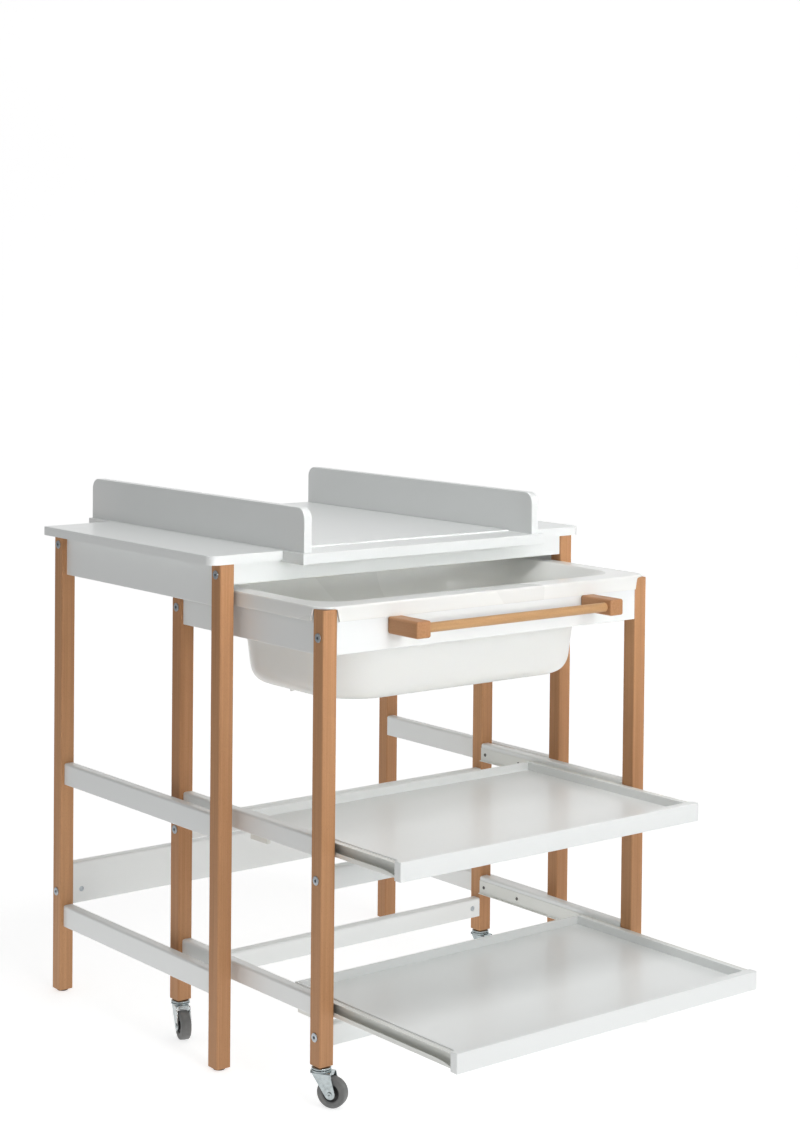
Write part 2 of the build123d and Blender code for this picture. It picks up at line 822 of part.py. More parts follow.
def tray_runner_shoe(side, front, level, top):
    """Shoe under the rear end of a tray's channel; it stops the tray at the front cross rail."""
    bottom = rail_tops[level] - trolley_rail_height - runner_shoe_drop
    y1 = front + tray_depth - runner_shoe_setback
    x_outer = side * (half_tray + runner_shoe_thickness)
    return slab(side * half_tray, x_outer, y1 - runner_shoe_length, y1, bottom, top)


def tray_runners(front, level):
    """Both channels of one tray."""
    return Compound([tray_runner(s, front, level) for s in SIDES.values()])


# Bathtub: a rim that lies on the trolley's panels, a skirt outside them and a deep bowl
tub_centre_y = (trolley_front + trolley_rear) / 2
rim_underside = trolley_panel_top + body_gap
rim_top = rim_underside + tub_wall
rim_half_width = half_trolley + tub_rim_side_play + tub_wall
rim_half_depth = trolley_depth / 2 + tub_rim_side_play + tub_wall
shoulder_bottom = rim_underside - tub_shoulder_height
panel_gap_width = 2 * (half_trolley - trolley_side_panel_inset - board_thickness)
tub_mouth_width = panel_gap_width - 2 * tub_mouth_side_gap
tub_mouth_depth = rear_panel_front - front_panel_back - 2 * tub_mouth_end_gap
tub_bowl_width = tub_mouth_width - 2 * tub_shoulder_side_step
tub_bowl_depth = tub_mouth_depth - 2 * tub_shoulder_end_step
drain_x = -tub_bowl_width / 2 + drain_from_bowl_side
drain_y = tub_centre_y + tub_bowl_depth / 2 - drain_from_bowl_rear


def rounded_block(half_width, half_depth, radius, z0, z1):
    """Upright block centred on the tub with rounded corners."""
    outline = RectangleRounded(2 * half_width, 2 * half_depth, radius)
    return extrude(Pos(0, tub_centre_y, z0) * outline, z1 - z0)


def tub_outline(width, depth, radius, inset, z):
    """Rounded rectangle centred on the tub, set in by the given wall, at height z."""
    outline = RectangleRounded(width - 2 * inset, depth - 2 * inset, radius - inset)
    return Pos(0, tub_centre_y, z) * outline


def tub_shoulder(inset):
    """Funnel from the wide mouth in the rim down to the bowl."""
    mouth = tub_outline(tub_mouth_width, tub_mouth_depth, tub_mouth_corner_radius, inset, rim_underside)
    neck = tub_outline(tub_bowl_width, tub_bowl_depth, tub_bowl_corner_radius, inset, shoulder_bottom)
    return loft([neck, mouth], ruled=True)


def tub_bowl(inset):
    """Tapering bowl with a rounded bottom, set in by the given wall."""
    outline = tub_outline(tub_bowl_width, tub_bowl_depth, tub_bowl_corner_radius, inset, shoulder_bottom)
    height = shoulder_bottom - tub_bottom_height - inset
    bowl = extrude(outline, height, dir=(0, 0, -1), taper=tub_bowl_taper)
    floor = bowl.faces().sort_by(Axis.Z)[0]
    return fillet(floor.edges(), tub_bottom_radius - inset)


def rim_notches():
    """Space that the rim leaves round the four legs."""
    notches = []
    for side in SIDES.values():
        for y, inward in ((trolley_front, 1), (trolley_rear, -1)):
            x_in = side * (trolley_leg_inner - tub_leg_play)
            x_out = side * (rim_half_width + cut_overrun)
            y_in = y + inward * (leg_section + tub_leg_play)
            y_out = y - inward * (tub_wall + tub_rim_side_play + cut_overrun)
            notches.append(slab(x_in, x_out, y_out, y_in, tub_skirt_bottom - cut_overrun, rim_underside))
    return notches


def tub_rim():
    """Flat rim with the skirt that hangs outside the trolley's panels."""
    shell = rounded_block(rim_half_width, rim_half_depth, tub_corner_radius, tub_skirt_bottom, rim_top)
    top_face = shell.faces().sort_by(Axis.Z)[-1]
    shell = fillet(top_face.edges(), tub_wall / 2)
    hollow = rounded_block(
        rim_half_width - tub_wall,
        rim_half_depth - tub_wall,
        tub_corner_radius - tub_wall,
        tub_skirt_bottom - cut_overrun,
        rim_underside,
    )
    return cut_all(shell - hollow, rim_notches())


def bathtub():
    """One-piece tub: rim and skirt, shoulder, bowl, and the boss of the drain."""
    boss_bottom = tub_bottom_height - drain_boss_length
    boss_top = tub_bottom_height + tub_wall / 2
    shell = tub_rim() + tub_shoulder(0) + tub_bowl(0)
    shell = shell + rod_z(drain_x, drain_y, boss_bottom, boss_top, drain_boss_diameter)
    mouth = tub_outline(tub_mouth_width, tub_mouth_depth, tub_mouth_corner_radius, tub_wall, rim_underside)
    drain_top = tub_bottom_height + 2 * tub_wall
    cuts = [
        extrude(mouth, tub_wall + cut_overrun),
        tub_shoulder(tub_wall),
        tub_bowl(tub_wall),
        rod_z(drain_x, drain_y, boss_bottom - cut_overrun, drain_top, drain_diameter),
    ]
    return cut_all(shell, cuts)


def drain_plug():
    """Stopper with a flange inside the tub and a grip to pull it by."""
    seat = tub_bottom_height + tub_wall + body_gap
    boss_bottom = tub_bottom_height - drain_boss_length
    stopper = rod_z(drain_x, drain_y, boss_bottom, seat, drain_diameter - 2 * plug_clearance)
    tail = rod_z(drain_x, drain_y, boss_bottom - plug_tail_length, boss_bottom, plug_tail_diameter)
    flange = rod_z(drain_x, drain_y, seat, seat + plug_flange_height, plug_flange_diameter)
    flange = fillet(flange.edges().sort_by(Axis.Z)[-1], plug_flange_height / 3)
    grip_bottom = seat + plug_flange_height
    grip = slab(
        drain_x - plug_grip_width / 2,
        drain_x + plug_grip_width / 2,
        drain_y - plug_grip_thickness / 2,
        drain_y + plug_grip_thickness / 2,
        grip_bottom,
        grip_bottom + plug_grip_height,
    )
    return tail + stopper + flange + grip


def table_parts():
    """Every node of the table, which stands still."""
    parts = {}
    for name, side in SIDES.items():
        parts["table_leg_front_" + name] = table_leg(side, 0)
        parts["table_leg_rear_" + name] = table_leg(side, rear_leg_front)
        parts["table_side_panel_" + name] = table_side_panel(side)
        parts["table_side_rail_upper_" + name] = table_side_rail(side, table_upper_rail_top)
        parts["table_side_rail_lower_" + name] = table_side_rail(side, table_lower_rail_top)
        parts["top_board_" + name] = top_board(side)
        parts["changing_side_" + name] = changing_side(side)
    parts["leg_glides"] = leg_glides()
    parts["apron_front"] = apron(apron_front_y, table_front_bolt_y, apron_front_y + apron_thickness)
    rear_start = apron_rear_y - apron_thickness
    parts["apron_rear"] = apron(rear_start, table_rear_bolt_y, rear_start)
    parts["back_rail"] = back_rail()
    parts["table_bolts"] = table_bolts()
    parts["table_barrel_nuts"] = table_barrel_nuts()
    parts["changing_base"] = changing_base()
    parts["changing_liner"] = changing_liner()
    return parts


def trolley_parts():
    """Every node of the trolley's frame."""
    parts = {}
    for name, side in SIDES.items():
        parts["trolley_leg_front_" + name] = trolley_leg(side, trolley_front)
        parts["trolley_leg_rear_" + name] = trolley_leg(side, trolley_rear_leg_front)
        parts["trolley_side_panel_" + name] = trolley_side_panel(side)
        for level in rail_tops:
            parts["trolley_side_rail_" + level + "_" + name] = trolley_side_rail(side, level)
    parts["trolley_front_panel"] = trolley_front_panel()
    parts["trolley_rear_panel"] = trolley_rear_panel()
    cross = {"upper": (upper_cross_rail_bottom, upper_cross_bolt_z)}
    cross["lower"] = (lower_cross_rail_bottom, lower_cross_bolt_z)
    for level, (bottom, bolt_z) in cross.items():
        front_rail = cross_rail(front_rail_front, front_bolt_y, bottom, bolt_z, front_rail_back)
        parts["cross_rail_front_" + level] = front_rail
        rear_rail = cross_rail(rear_rail_front, rear_bolt_y, bottom, bolt_z, rear_rail_front)
        parts["cross_rail_rear_" + level] = rear_rail
    parts["trolley_bolts"] = trolley_bolts()
    parts["trolley_barrel_nuts"] = trolley_barrel_nuts()
    parts["handle_blocks"] = Compound([handle_block(s) for s in SIDES.values()])
    parts["handle_bar"] = handle_bar()
    parts["trolley_runners"] = fixed_runners()
    parts["trolley_screws"] = runner_screws()
    return parts


def moving_parts():
    """Casters, trays, tub and plug."""
    parts = {}
    frame, wheel = caster_frame(), caster_wheel()
    for corner in caster_places:
        parts["caster_frame_" + corner] = place_caster(frame, corner)
        parts["caster_wheel_" + corner] = place_caster(wheel, corner)
    for level, front in {"upper": upper_tray_front, "lower": lower_tray_front}.items():
        parts["tray_front_" + level] = tray_front_panel(front, level)
        parts["tray_body_" + level] = tray_body(front, level)
        parts["tray_runners_" + level] = tray_runners(front, level)
    parts["bathtub"] = bathtub()
    parts["drain_plug"] = drain_plug()
    return parts


def main():
    """Build every node and write it with the footprint centred on the origin."""
    os.makedirs("parts", exist_ok=True)
    for name, shape in {**table_parts(), **trolley_parts(), **moving_parts()}.items():
        export_step(Pos(0, centre_shift, 0) * shape, "parts/" + name + ".step")


main()
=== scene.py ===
# Looks of a changing table with a bathtub trolley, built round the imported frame.
# Lengths are metres in the frame's axes: +Z up, the front faces -Y. MM turns millimetres into them.

import json
import logging
import math
from dataclasses import dataclass, field
from enum import Enum
from typing import Sequence

import bmesh
import bpy
import numpy as np
from mathutils import Matrix, Vector


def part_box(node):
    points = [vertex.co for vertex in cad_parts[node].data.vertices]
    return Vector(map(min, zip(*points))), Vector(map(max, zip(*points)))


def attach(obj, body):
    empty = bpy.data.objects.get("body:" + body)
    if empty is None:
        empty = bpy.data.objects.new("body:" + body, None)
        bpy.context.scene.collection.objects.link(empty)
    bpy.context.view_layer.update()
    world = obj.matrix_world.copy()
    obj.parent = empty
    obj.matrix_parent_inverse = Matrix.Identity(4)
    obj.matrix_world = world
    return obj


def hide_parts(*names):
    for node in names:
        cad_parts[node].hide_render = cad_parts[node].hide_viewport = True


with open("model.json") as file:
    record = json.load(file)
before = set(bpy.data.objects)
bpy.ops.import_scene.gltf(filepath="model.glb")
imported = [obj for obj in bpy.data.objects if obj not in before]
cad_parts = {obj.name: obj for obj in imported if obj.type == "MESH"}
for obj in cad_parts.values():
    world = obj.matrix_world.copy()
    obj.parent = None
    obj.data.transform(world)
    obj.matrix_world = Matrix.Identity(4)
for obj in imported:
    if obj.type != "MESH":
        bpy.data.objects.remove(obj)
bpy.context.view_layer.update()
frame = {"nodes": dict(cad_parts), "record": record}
MM = 0.001
log = logging.getLogger("changing_table")

Array = np.ndarray
Socket = bpy.types.NodeSocket
Colour = tuple[float, float, float]
Span = tuple[float, float]
Place = tuple[float, float, float]

MERGE_DISTANCE = 1e-7
SHARP_ANGLE = math.radians(40)

# Sockets of a mix node that carry its two colours and its result
MIX_FIRST, MIX_SECOND, MIX_RESULT = 6, 7, 2


class Grain(Enum):
    """Direction in which a wooden piece's fibres run."""

    X = 0
    Y = 1
    Z = 2


class Carving(Enum):
    """What a solid tool does to the piece that it is used on."""

    CUT = "DIFFERENCE"
    JOIN = "UNION"


# Mesh making


def make_object(name: str, vertices: Array, faces: Sequence[Sequence[int]]) -> bpy.types.Object:
    """Make a mesh object whose closed surfaces face outwards.

    Args:
        name: the piece's name.
        vertices: points as an (n, 3) array in metres.
        faces: vertex numbers of each face.

    Returns:
        The new object, at the origin, linked to the scene.
    """
    mesh = bpy.data.meshes.new(name)
    mesh.from_pydata(vertices.reshape(-1, 3).tolist(), [], faces)
    shell = bmesh.new()
    shell.from_mesh(mesh)
    bmesh.ops.remove_doubles(shell, verts=shell.verts, dist=MERGE_DISTANCE)
    bmesh.ops.recalc_face_normals(shell, faces=shell.faces)
    shell.to_mesh(mesh)
    shell.free()
    mesh.shade_smooth()
    mesh.set_sharp_from_angle(angle=SHARP_ANGLE)
    piece = bpy.data.objects.new(name, mesh)
    bpy.context.scene.collection.objects.link(piece)
    return piece


@dataclass
class Shell:
    """Vertices and faces that grow as surfaces are added to them."""

    vertices: list[Array] = field(default_factory=list)
    faces: list[list[int]] = field(default_factory=list)
    count: int = 0

    def add_rings(self, rings: Array, capped: bool = True) -> None:
        """Add a surface that runs over rings of points, each ring closed on itself.

        Args:
            rings: (m, n, 3) array, m rings of n points.
            capped: close the first and the last ring with one face each.
        """
        m, n = rings.shape[:2]
        index = self.count + np.arange(m * n).reshape(m, n)
        ahead = np.roll(index, -1, axis=1)
        quads = np.stack([index[:-1], ahead[:-1], ahead[1:], index[1:]], axis=-1).reshape(-1, 4)
        self.faces += quads.tolist()
        if capped:
            self.faces += [index[0, ::-1].tolist(), index[-1].tolist()]
        self.vertices.append(rings.reshape(-1, 3))
        self.count += m * n

    def add_loop(self, rings: Array) -> None:
        """Add a surface closed both round each ring and from the last ring to the first."""
        self.add_rings(np.concatenate([rings, rings[:1]]), capped=False)

    def add_sheet(self, outer: Array, inner: Array) -> None:
        """Add a wall between two matching grids of points, closed along its four edges.

        Args:
            outer: (m, n, 3) grid of one face.
            inner: the other face, with the same shape.
        """
        m, n = outer.shape[:2]
        a = self.count + np.arange(m * n).reshape(m, n)
        grids = [a, a + m * n]
        for grid in grids:
            quads = np.stack([grid[:-1, :-1], grid[:-1, 1:], grid[1:, 1:], grid[1:, :-1]], axis=-1)
            self.faces += quads.reshape(-1, 4).tolist()
        rims = [np.concatenate([g[0], g[1:, -1], g[-1, -2::-1], g[-2:0:-1, 0]]) for g in grids]
        strip = np.stack([rims[0], rims[1], np.roll(rims[1], -1), np.roll(rims[0], -1)], axis=-1)
        self.faces += strip.tolist()
        self.vertices += [outer.reshape(-1, 3), inner.reshape(-1, 3)]
        self.count += 2 * m * n

    def add_mesh(self, mesh: bpy.types.Mesh, matrix: Matrix) -> None:
        """Add a copy of a mesh, in metres, carried by a matrix in millimetres.

        Args:
            mesh: the mesh to copy.
            matrix: where the copy goes.
        """
        points = np.empty(len(mesh.vertices) * 3)
        mesh.vertices.foreach_get("co", points)
        self.faces += [[self.count + v for v in polygon.vertices] for polygon in mesh.polygons]
        self.vertices.append(placed(points.reshape(-1, 3) / MM, matrix))
        self.count += len(mesh.vertices)

    def build(self, name: str) -> bpy.types.Object:
        """Turn everything added so far, in millimetres, into one object."""
        return make_object(name, np.concatenate(self.vertices) * MM, self.faces)


def circle(count: int) -> Array:
    """Unit circle as (count, 2): cosine and sine of evenly spaced angles."""
    turn = np.arange(count) * (2 * np.pi / count)
    return np.stack([np.cos(turn), np.sin(turn)], axis=-1)


def lathe(profile: Array, count: int = 48) -> Array:
    """Turn a profile round the Z axis.

    Args:
        profile: (m, 2) array of radius and height.
        count: points round the turn.

    Returns:
        (m, count, 3) rings: radius times the unit circle, at the profile's height.
    """
    unit = circle(count)
    rings = np.zeros((len(profile), count, 3))
    rings[..., :2] = profile[:, 0, None, None] * unit[None]
    rings[..., 2] = profile[:, 1, None]
    return rings


def rounded_profile(
    points: Sequence[Sequence[float]],
    radii: Sequence[float],
    steps: int = 6,
) -> Array:
    """Round the corners of an open profile with quadratic curves.

    Each corner becomes (1-t)^2 A + 2t(1-t) C + t^2 B, where C is the corner and A and B lie on
    its two sides, the corner's radius away.

    Args:
        points: the profile's corners, of any dimension.
        radii: how far from each corner the curve starts; zero keeps the corner.
        steps: spans of each curve.

    Returns:
        The rounded profile as an array of points.
    """
    corners = np.array(points, float)
    out = [corners[:1]]
    for before, corner, after, radius in zip(corners[:-2], corners[1:-1], corners[2:], radii[1:-1]):
        back, ahead = before - corner, after - corner
        a = corner + back * min(radius / np.linalg.norm(back), 0.5)
        b = corner + ahead * min(radius / np.linalg.norm(ahead), 0.5)
        t = np.linspace(0, 1, steps + 1 if radius > 0 else 1)[:, None]
        out.append((1 - t) ** 2 * a + 2 * t * (1 - t) * corner + t**2 * b)
    out.append(corners[-1:])
    return np.concatenate(out)


def spindle(
    corners: Sequence[Sequence[float]],
    radii: Sequence[float],
    steps: int = 6,
    count: int = 48,
) -> Array:
    """Turn a rounded profile that starts and ends on the axis.

    Its two points on the axis are left out, because the caps of Shell.add_rings close both ends.

    Args:
        corners: radius and height of each corner.
        radii: how much each corner is rounded.
        steps: spans of each rounded corner.
        count: points round the turn.

    Returns:
        (m, count, 3) rings of the solid.
    """
    return lathe(rounded_profile(corners, radii, steps)[1:-1], count)


@dataclass(frozen=True)
class RoundedRectangle:
    """Sampling of rounded rectangles that all share the same number of points.

    A point is (u * (half_x - r) + r * cos, v * (half_y - r) + r * sin): u and v run along the
    straight sides and the angle turns at the corners. Points crowd towards the corners.
    """

    corner_steps: int = 10
    side_steps: int = 24

    def unit(self) -> Array:
        """Rows of u, v, cosine and sine for every point round the outline.

        Returns:
            (n, 4) array, n points round the outline.
        """
        rows = []
        side = np.sin(np.linspace(-1, 1, self.side_steps + 1) * np.pi / 2)
        turn = np.linspace(0, np.pi / 2, self.corner_steps + 1)[1:-1]
        for quarter in range(4):
            a = quarter * np.pi / 2
            along = np.tile((np.cos(a), np.sin(a)), (len(side), 1))
            across = side[:, None] * np.array([-np.sin(a), np.cos(a)])
            flat = np.concatenate([along + across, along], axis=-1)
            corner = np.sign(np.array([np.cos(a) - np.sin(a), np.sin(a) + np.cos(a)]))
            angle = a + turn
            bend = np.tile(corner, (len(turn), 1))
            bend = np.column_stack([bend, np.cos(angle), np.sin(angle)])
            rows += [flat, bend]
        table = np.concatenate(rows)
        table[:, :2] = np.clip(np.round(table[:, :2], 9), -1, 1)
        return table

    def rings(self, stations: Array, centre: Sequence[float]) -> Array:
        """Rings round a centre (x, y) for stations: rows of half_x, half_y, radius and z.

        Args:
            stations: (m, 4) array, one row for each ring.
            centre: middle of every ring.

        Returns:
            (m, n, 3) rings.
        """
        u, v, c, s = self.unit().T
        half_x, half_y, radius, z = (column[:, None] for column in stations.T)
        r = np.minimum(radius, np.minimum(half_x, half_y))
        x = centre[0] + u * (half_x - r) + r * c
        y = centre[1] + v * (half_y - r) + r * s
        return np.stack([x, y, np.broadcast_to(z, x.shape)], axis=-1)


def placed(rings: Array, matrix: Matrix) -> Array:
    """Carry points by a 4 by 4 matrix."""
    m = np.array(matrix)
    return rings @ m[:3, :3].T + m[:3, 3]


def swept(profile: Array, stations: Array, side: int) -> Array:
    """Carry a profile along Y.

    Args:
        profile: (n, 2) array of X and Z.
        stations: the m values of Y.
        side: -1 mirrors the profile to the left, 1 keeps it.

    Returns:
        (m, n, 3) grid: side * profile x, station y, profile z.
    """
    grid = np.zeros((len(stations), len(profile), 3))
    grid[..., 0] = side * profile[:, 0]
    grid[..., 1] = stations[:, None]
    grid[..., 2] = profile[:, 1]
    return grid


def facing(origin: Sequence[float], normal: Sequence[float]) -> Matrix:
    """Matrix that stands a shape's Z axis along a level normal, with its Y axis upwards.

    Args:
        origin: where the shape's origin goes.
        normal: level direction of its Z axis.

    Returns:
        The 4 by 4 matrix.
    """
    z = Vector(normal).normalized()
    x = Vector((0, 0, 1)).cross(z).normalized()
    y = z.cross(x)
    turned = Matrix((x, y, z)).transposed().to_4x4()
    return Matrix.Translation(Vector(origin)) @ turned


# Finishes


class NodeMaterial:
    """A material with a Principled shader, and short ways to add nodes to it."""

    def __init__(self, name: str) -> None:
        """Make the material with its output, shader and object coordinates.

        Args:
            name: the material's name.
        """
        self.material = bpy.data.materials.new(name)
        self.material.use_nodes = True
        self.tree = self.material.node_tree
        self.tree.nodes.clear()
        output = self.tree.nodes.new("ShaderNodeOutputMaterial")
        self.shader = self.tree.nodes.new("ShaderNodeBsdfPrincipled")
        self.link(self.shader.outputs["BSDF"], output.inputs["Surface"])
        self.coordinates = self.tree.nodes.new("ShaderNodeTexCoord").outputs["Object"]

    def link(self, a: Socket, b: Socket) -> None:
        """Join two sockets."""
        self.tree.links.new(a, b)

    def feed(self, value: Socket, name: str) -> None:
        """Join a socket to one of the shader's inputs."""
        self.link(value, self.shader.inputs[name])

    def stretched(self, scale: Sequence[float]) -> Socket:
        """Object coordinates multiplied by a scale for each axis.

        Args:
            scale: factor for X, Y and Z.

        Returns:
            The stretched coordinates.
        """
        mapping = self.tree.nodes.new("ShaderNodeMapping")
        mapping.inputs["Scale"].default_value = scale
        self.link(self.coordinates, mapping.inputs["Vector"])
        return mapping.outputs["Vector"]

    def noise(self, vector: Socket, scale: float, detail: float, rough: float = 0.5) -> Socket:
        """Fractal noise over a vector.

        Args:
            vector: where the noise is read.
            scale: its size: larger is finer.
            detail: how many finer layers it has.
            rough: how strong the finer layers are.

        Returns:
            The noise, about 0 to 1.
        """
        node = self.tree.nodes.new("ShaderNodeTexNoise")
        node.inputs["Scale"].default_value = scale
        node.inputs["Detail"].default_value = detail
        node.inputs["Roughness"].default_value = rough
        self.link(vector, node.inputs["Vector"])
        return node.outputs["Fac"]

    def ramp(
        self,
        value: Socket,
        low: float,
        high: float,
        a: float = 0.0,
        b: float = 1.0,
    ) -> Socket:
        """Map a value from low..high to a..b, held at both ends.

        Args:
            value: the value that is mapped.
            low: value that gives a.
            high: value that gives b.
            a: result at the low end.
            b: result at the high end.

        Returns:
            The mapped value.
        """
        node = self.tree.nodes.new("ShaderNodeMapRange")
        node.inputs["From Min"].default_value = low
        node.inputs["From Max"].default_value = high
        node.inputs["To Min"].default_value = a
        node.inputs["To Max"].default_value = b
        self.link(value, node.inputs["Value"])
        return node.outputs["Result"]

    def mix(self, factor: Socket, a: Socket | Colour, b: Colour) -> Socket:
        """Mix two colours, the first a socket or a fixed colour and the second a fixed one.

        Args:
            factor: 0 gives the first colour, 1 the second.
            a: the first colour.
            b: the second colour.

        Returns:
            The mixed colour.
        """
        node = self.tree.nodes.new("ShaderNodeMix")
        node.data_type = "RGBA"
        self.link(factor, node.inputs[0])
        first, second = node.inputs[MIX_FIRST], node.inputs[MIX_SECOND]
        if isinstance(a, Socket):
            self.link(a, first)
        else:
            first.default_value = (*a, 1.0)
        second.default_value = (*b, 1.0)
        return node.outputs[MIX_RESULT]

    def math(self, operation: str, a: Socket, b: Socket | float) -> Socket:
        """Arithmetic on a socket and a second value, a socket or a number.

        Args:
            operation: the math node's operation.
            a: the first value.
            b: the second value; an operation on one value ignores it.

        Returns:
            The result.
        """
        node = self.tree.nodes.new("ShaderNodeMath")
        node.operation = operation
        self.link(a, node.inputs[0])
        if isinstance(b, Socket):
            self.link(b, node.inputs[1])
        else:
            node.inputs[1].default_value = b
        return node.outputs[0]

    def bump(self, height: Socket, depth: float, strength: float) -> None:
        """Raise the surface by up to depth metres.

        Args:
            height: relief, about 0 to 1.
            depth: what a height of 1 stands for, in metres.
            strength: share of the bump that shows.
        """
        node = self.tree.nodes.new("ShaderNodeBump")
        node.inputs["Strength"].default_value = strength
        node.inputs["Distance"].default_value = depth
        self.link(height, node.inputs["Height"])
        self.feed(node.outputs["Normal"], "Normal")

    def set(self, **values: float) -> None:
        """Set uniform values on the shader's own sockets; underscores stand for spaces."""
        for key, value in values.items():
            self.shader.inputs[key.replace("_", " ")].default_value = value


@dataclass(frozen=True)
class Beech:
    """Clear-varnished beech: even brown, faint growth bands and short dark ray flecks.

    Each pattern's scale is a pair: along the fibres and across them.
    """

    name: str
    grain: Grain
    light: Colour = (0.59, 0.313, 0.15)
    dark: Colour = (0.43, 0.208, 0.092)
    fleck: Colour = (0.33, 0.155, 0.07)
    board_scale: Span = (0.9, 9.0)
    board_share: float = 0.55
    tone_range: Span = (0.36, 0.64)
    band_scale: Span = (3.0, 260.0)
    band_range: Span = (0.3, 0.7)
    pore_scale: Span = (60.0, 2600.0)
    pore_range: Span = (0.35, 0.75)
    pore_strength: float = 0.22
    pore_relief: float = 0.5
    fleck_scale: Span = (180.0, 1100.0)
    fleck_size: Span = (0.12, 0.3)
    fleck_strength: float = 0.55
    roughness: Span = (0.42, 0.54)
    grain_depth: float = 0.00006
    grain_strength: float = 0.6
    specular: float = 0.3
    varnish: float = 0.06
    varnish_roughness: float = 0.3

    def along(self, scale: Span) -> tuple[float, ...]:
        """Scale for each axis: the first value along the fibres, the second across them."""
        return tuple(scale[0] if axis == self.grain.value else scale[1] for axis in range(3))

    def build(self) -> bpy.types.Material:
        """Make the material.

        Returns:
            The new material.
        """
        m = NodeMaterial(self.name)
        board = m.noise(m.stretched(self.along(self.board_scale)), 1.0, 2.0)
        bands = m.noise(m.stretched(self.along(self.band_scale)), 1.0, 3.0, 0.6)
        pores = m.noise(m.stretched(self.along(self.pore_scale)), 1.0, 2.0, 0.7)
        wide = m.math("MULTIPLY", board, self.board_share)
        tone = m.math("ADD", wide, m.math("MULTIPLY", bands, 1.0 - self.board_share))
        colour = m.mix(m.ramp(tone, *self.tone_range), self.light, self.dark)
        cells = m.tree.nodes.new("ShaderNodeTexVoronoi")
        cells.inputs["Scale"].default_value = 1.0
        m.link(m.stretched(self.along(self.fleck_scale)), cells.inputs["Vector"])
        dash = m.ramp(cells.outputs["Distance"], *self.fleck_size, self.fleck_strength, 0.0)
        colour = m.mix(dash, colour, self.fleck)
        pitted = m.ramp(pores, *self.pore_range, 0.0, self.pore_strength)
        colour = m.mix(pitted, colour, self.dark)
        m.feed(colour, "Base Color")
        m.feed(m.ramp(bands, *self.band_range, *self.roughness), "Roughness")
        relief = m.math("SUBTRACT", m.math("MULTIPLY", pores, self.pore_relief), dash)
        m.bump(relief, self.grain_depth, self.grain_strength)
        m.set(Specular_IOR_Level=self.specular)
        m.set(Coat_Weight=self.varnish, Coat_Roughness=self.varnish_roughness)
        return m.material


@dataclass(frozen=True)
class Lacquer:
    """Sprayed satin lacquer or enamel: almost even colour with a very fine orange peel."""

    name: str
    colour: Colour
    shade: Colour
    roughness: Span = (0.34, 0.42)
    cloud_scale: float = 6.0
    peel_scale: float = 700.0
    peel_depth: float = 0.00002
    peel_strength: float = 0.5
    coat: float = 0.0
    coat_roughness: float = 0.12

    def build(self) -> bpy.types.Material:
        """Make the material.

        Returns:
            The new material.
        """
        m = NodeMaterial(self.name)
        cloud = m.noise(m.coordinates, self.cloud_scale, 3.0)
        peel = m.noise(m.coordinates, self.peel_scale, 1.0)
        m.feed(m.mix(m.ramp(cloud, 0.0, 1.0), self.colour, self.shade), "Base Color")
        m.feed(m.ramp(cloud, 0.0, 1.0, *self.roughness), "Roughness")
        m.bump(peel, self.peel_depth, self.peel_strength)
        m.set(Coat_Weight=self.coat, Coat_Roughness=self.coat_roughness)
        return m.material


@dataclass(frozen=True)
class MilkyPlastic:
    """Thick milky polypropylene that lets a little light through."""

    name: str
    colour: Colour = (0.91, 0.915, 0.88)
    shade: Colour = (0.89, 0.895, 0.855)
    roughness: Span = (0.24, 0.32)
    cloud_scale: float = 3.0
    skin_scale: float = 420.0
    skin_depth: float = 0.00002
    skin_strength: float = 0.3
    refraction: float = 1.49
    coat: float = 0.3
    coat_roughness: float = 0.12
    milkiness: float = 0.35
    light_reach: float = 0.012
    light_tint: Colour = (1.0, 0.95, 0.85)

    def build(self) -> bpy.types.Material:
        """Make the material.

        Returns:
            The new material.
        """
        m = NodeMaterial(self.name)
        cloud = m.noise(m.coordinates, self.cloud_scale, 1.0)
        skin = m.noise(m.coordinates, self.skin_scale, 1.0)
        m.feed(m.mix(m.ramp(cloud, 0.0, 1.0), self.colour, self.shade), "Base Color")
        m.feed(m.ramp(cloud, 0.0, 1.0, *self.roughness), "Roughness")
        m.bump(skin, self.skin_depth, self.skin_strength)
        m.set(Subsurface_Weight=self.milkiness, Subsurface_Scale=self.light_reach)
        m.set(IOR=self.refraction, Coat_Weight=self.coat, Coat_Roughness=self.coat_roughness)
        m.shader.inputs["Subsurface Radius"].default_value = self.light_tint
        return m.material


@dataclass(frozen=True)
class Metal:
    """Plated steel with fine scratches and cloudy wear."""

    name: str
    colour: Colour
    worn: Colour
    roughness: Span
    wear_scale: float = 160.0
    wear_range: Span = (0.4, 0.7)
    scratch_scale: tuple[float, float, float] = (900.0, 900.0, 4200.0)
    scratch_range: Span = (0.3, 0.7)
    scratch_depth: float = 0.00001
    scratch_strength: float = 0.4

    def build(self) -> bpy.types.Material:
        """Make the material.

        Returns:
            The new material.
        """
        m = NodeMaterial(self.name)
        cloud = m.noise(m.coordinates, self.wear_scale, 3.0)
        scratch = m.noise(m.stretched(self.scratch_scale), 1.0, 2.0, 0.7)
        m.feed(m.mix(m.ramp(cloud, *self.wear_range), self.colour, self.worn), "Base Color")
        m.feed(m.ramp(scratch, *self.scratch_range, *self.roughness), "Roughness")
        m.bump(scratch, self.scratch_depth, self.scratch_strength)
        m.set(Metallic=1.0)
        return m.material


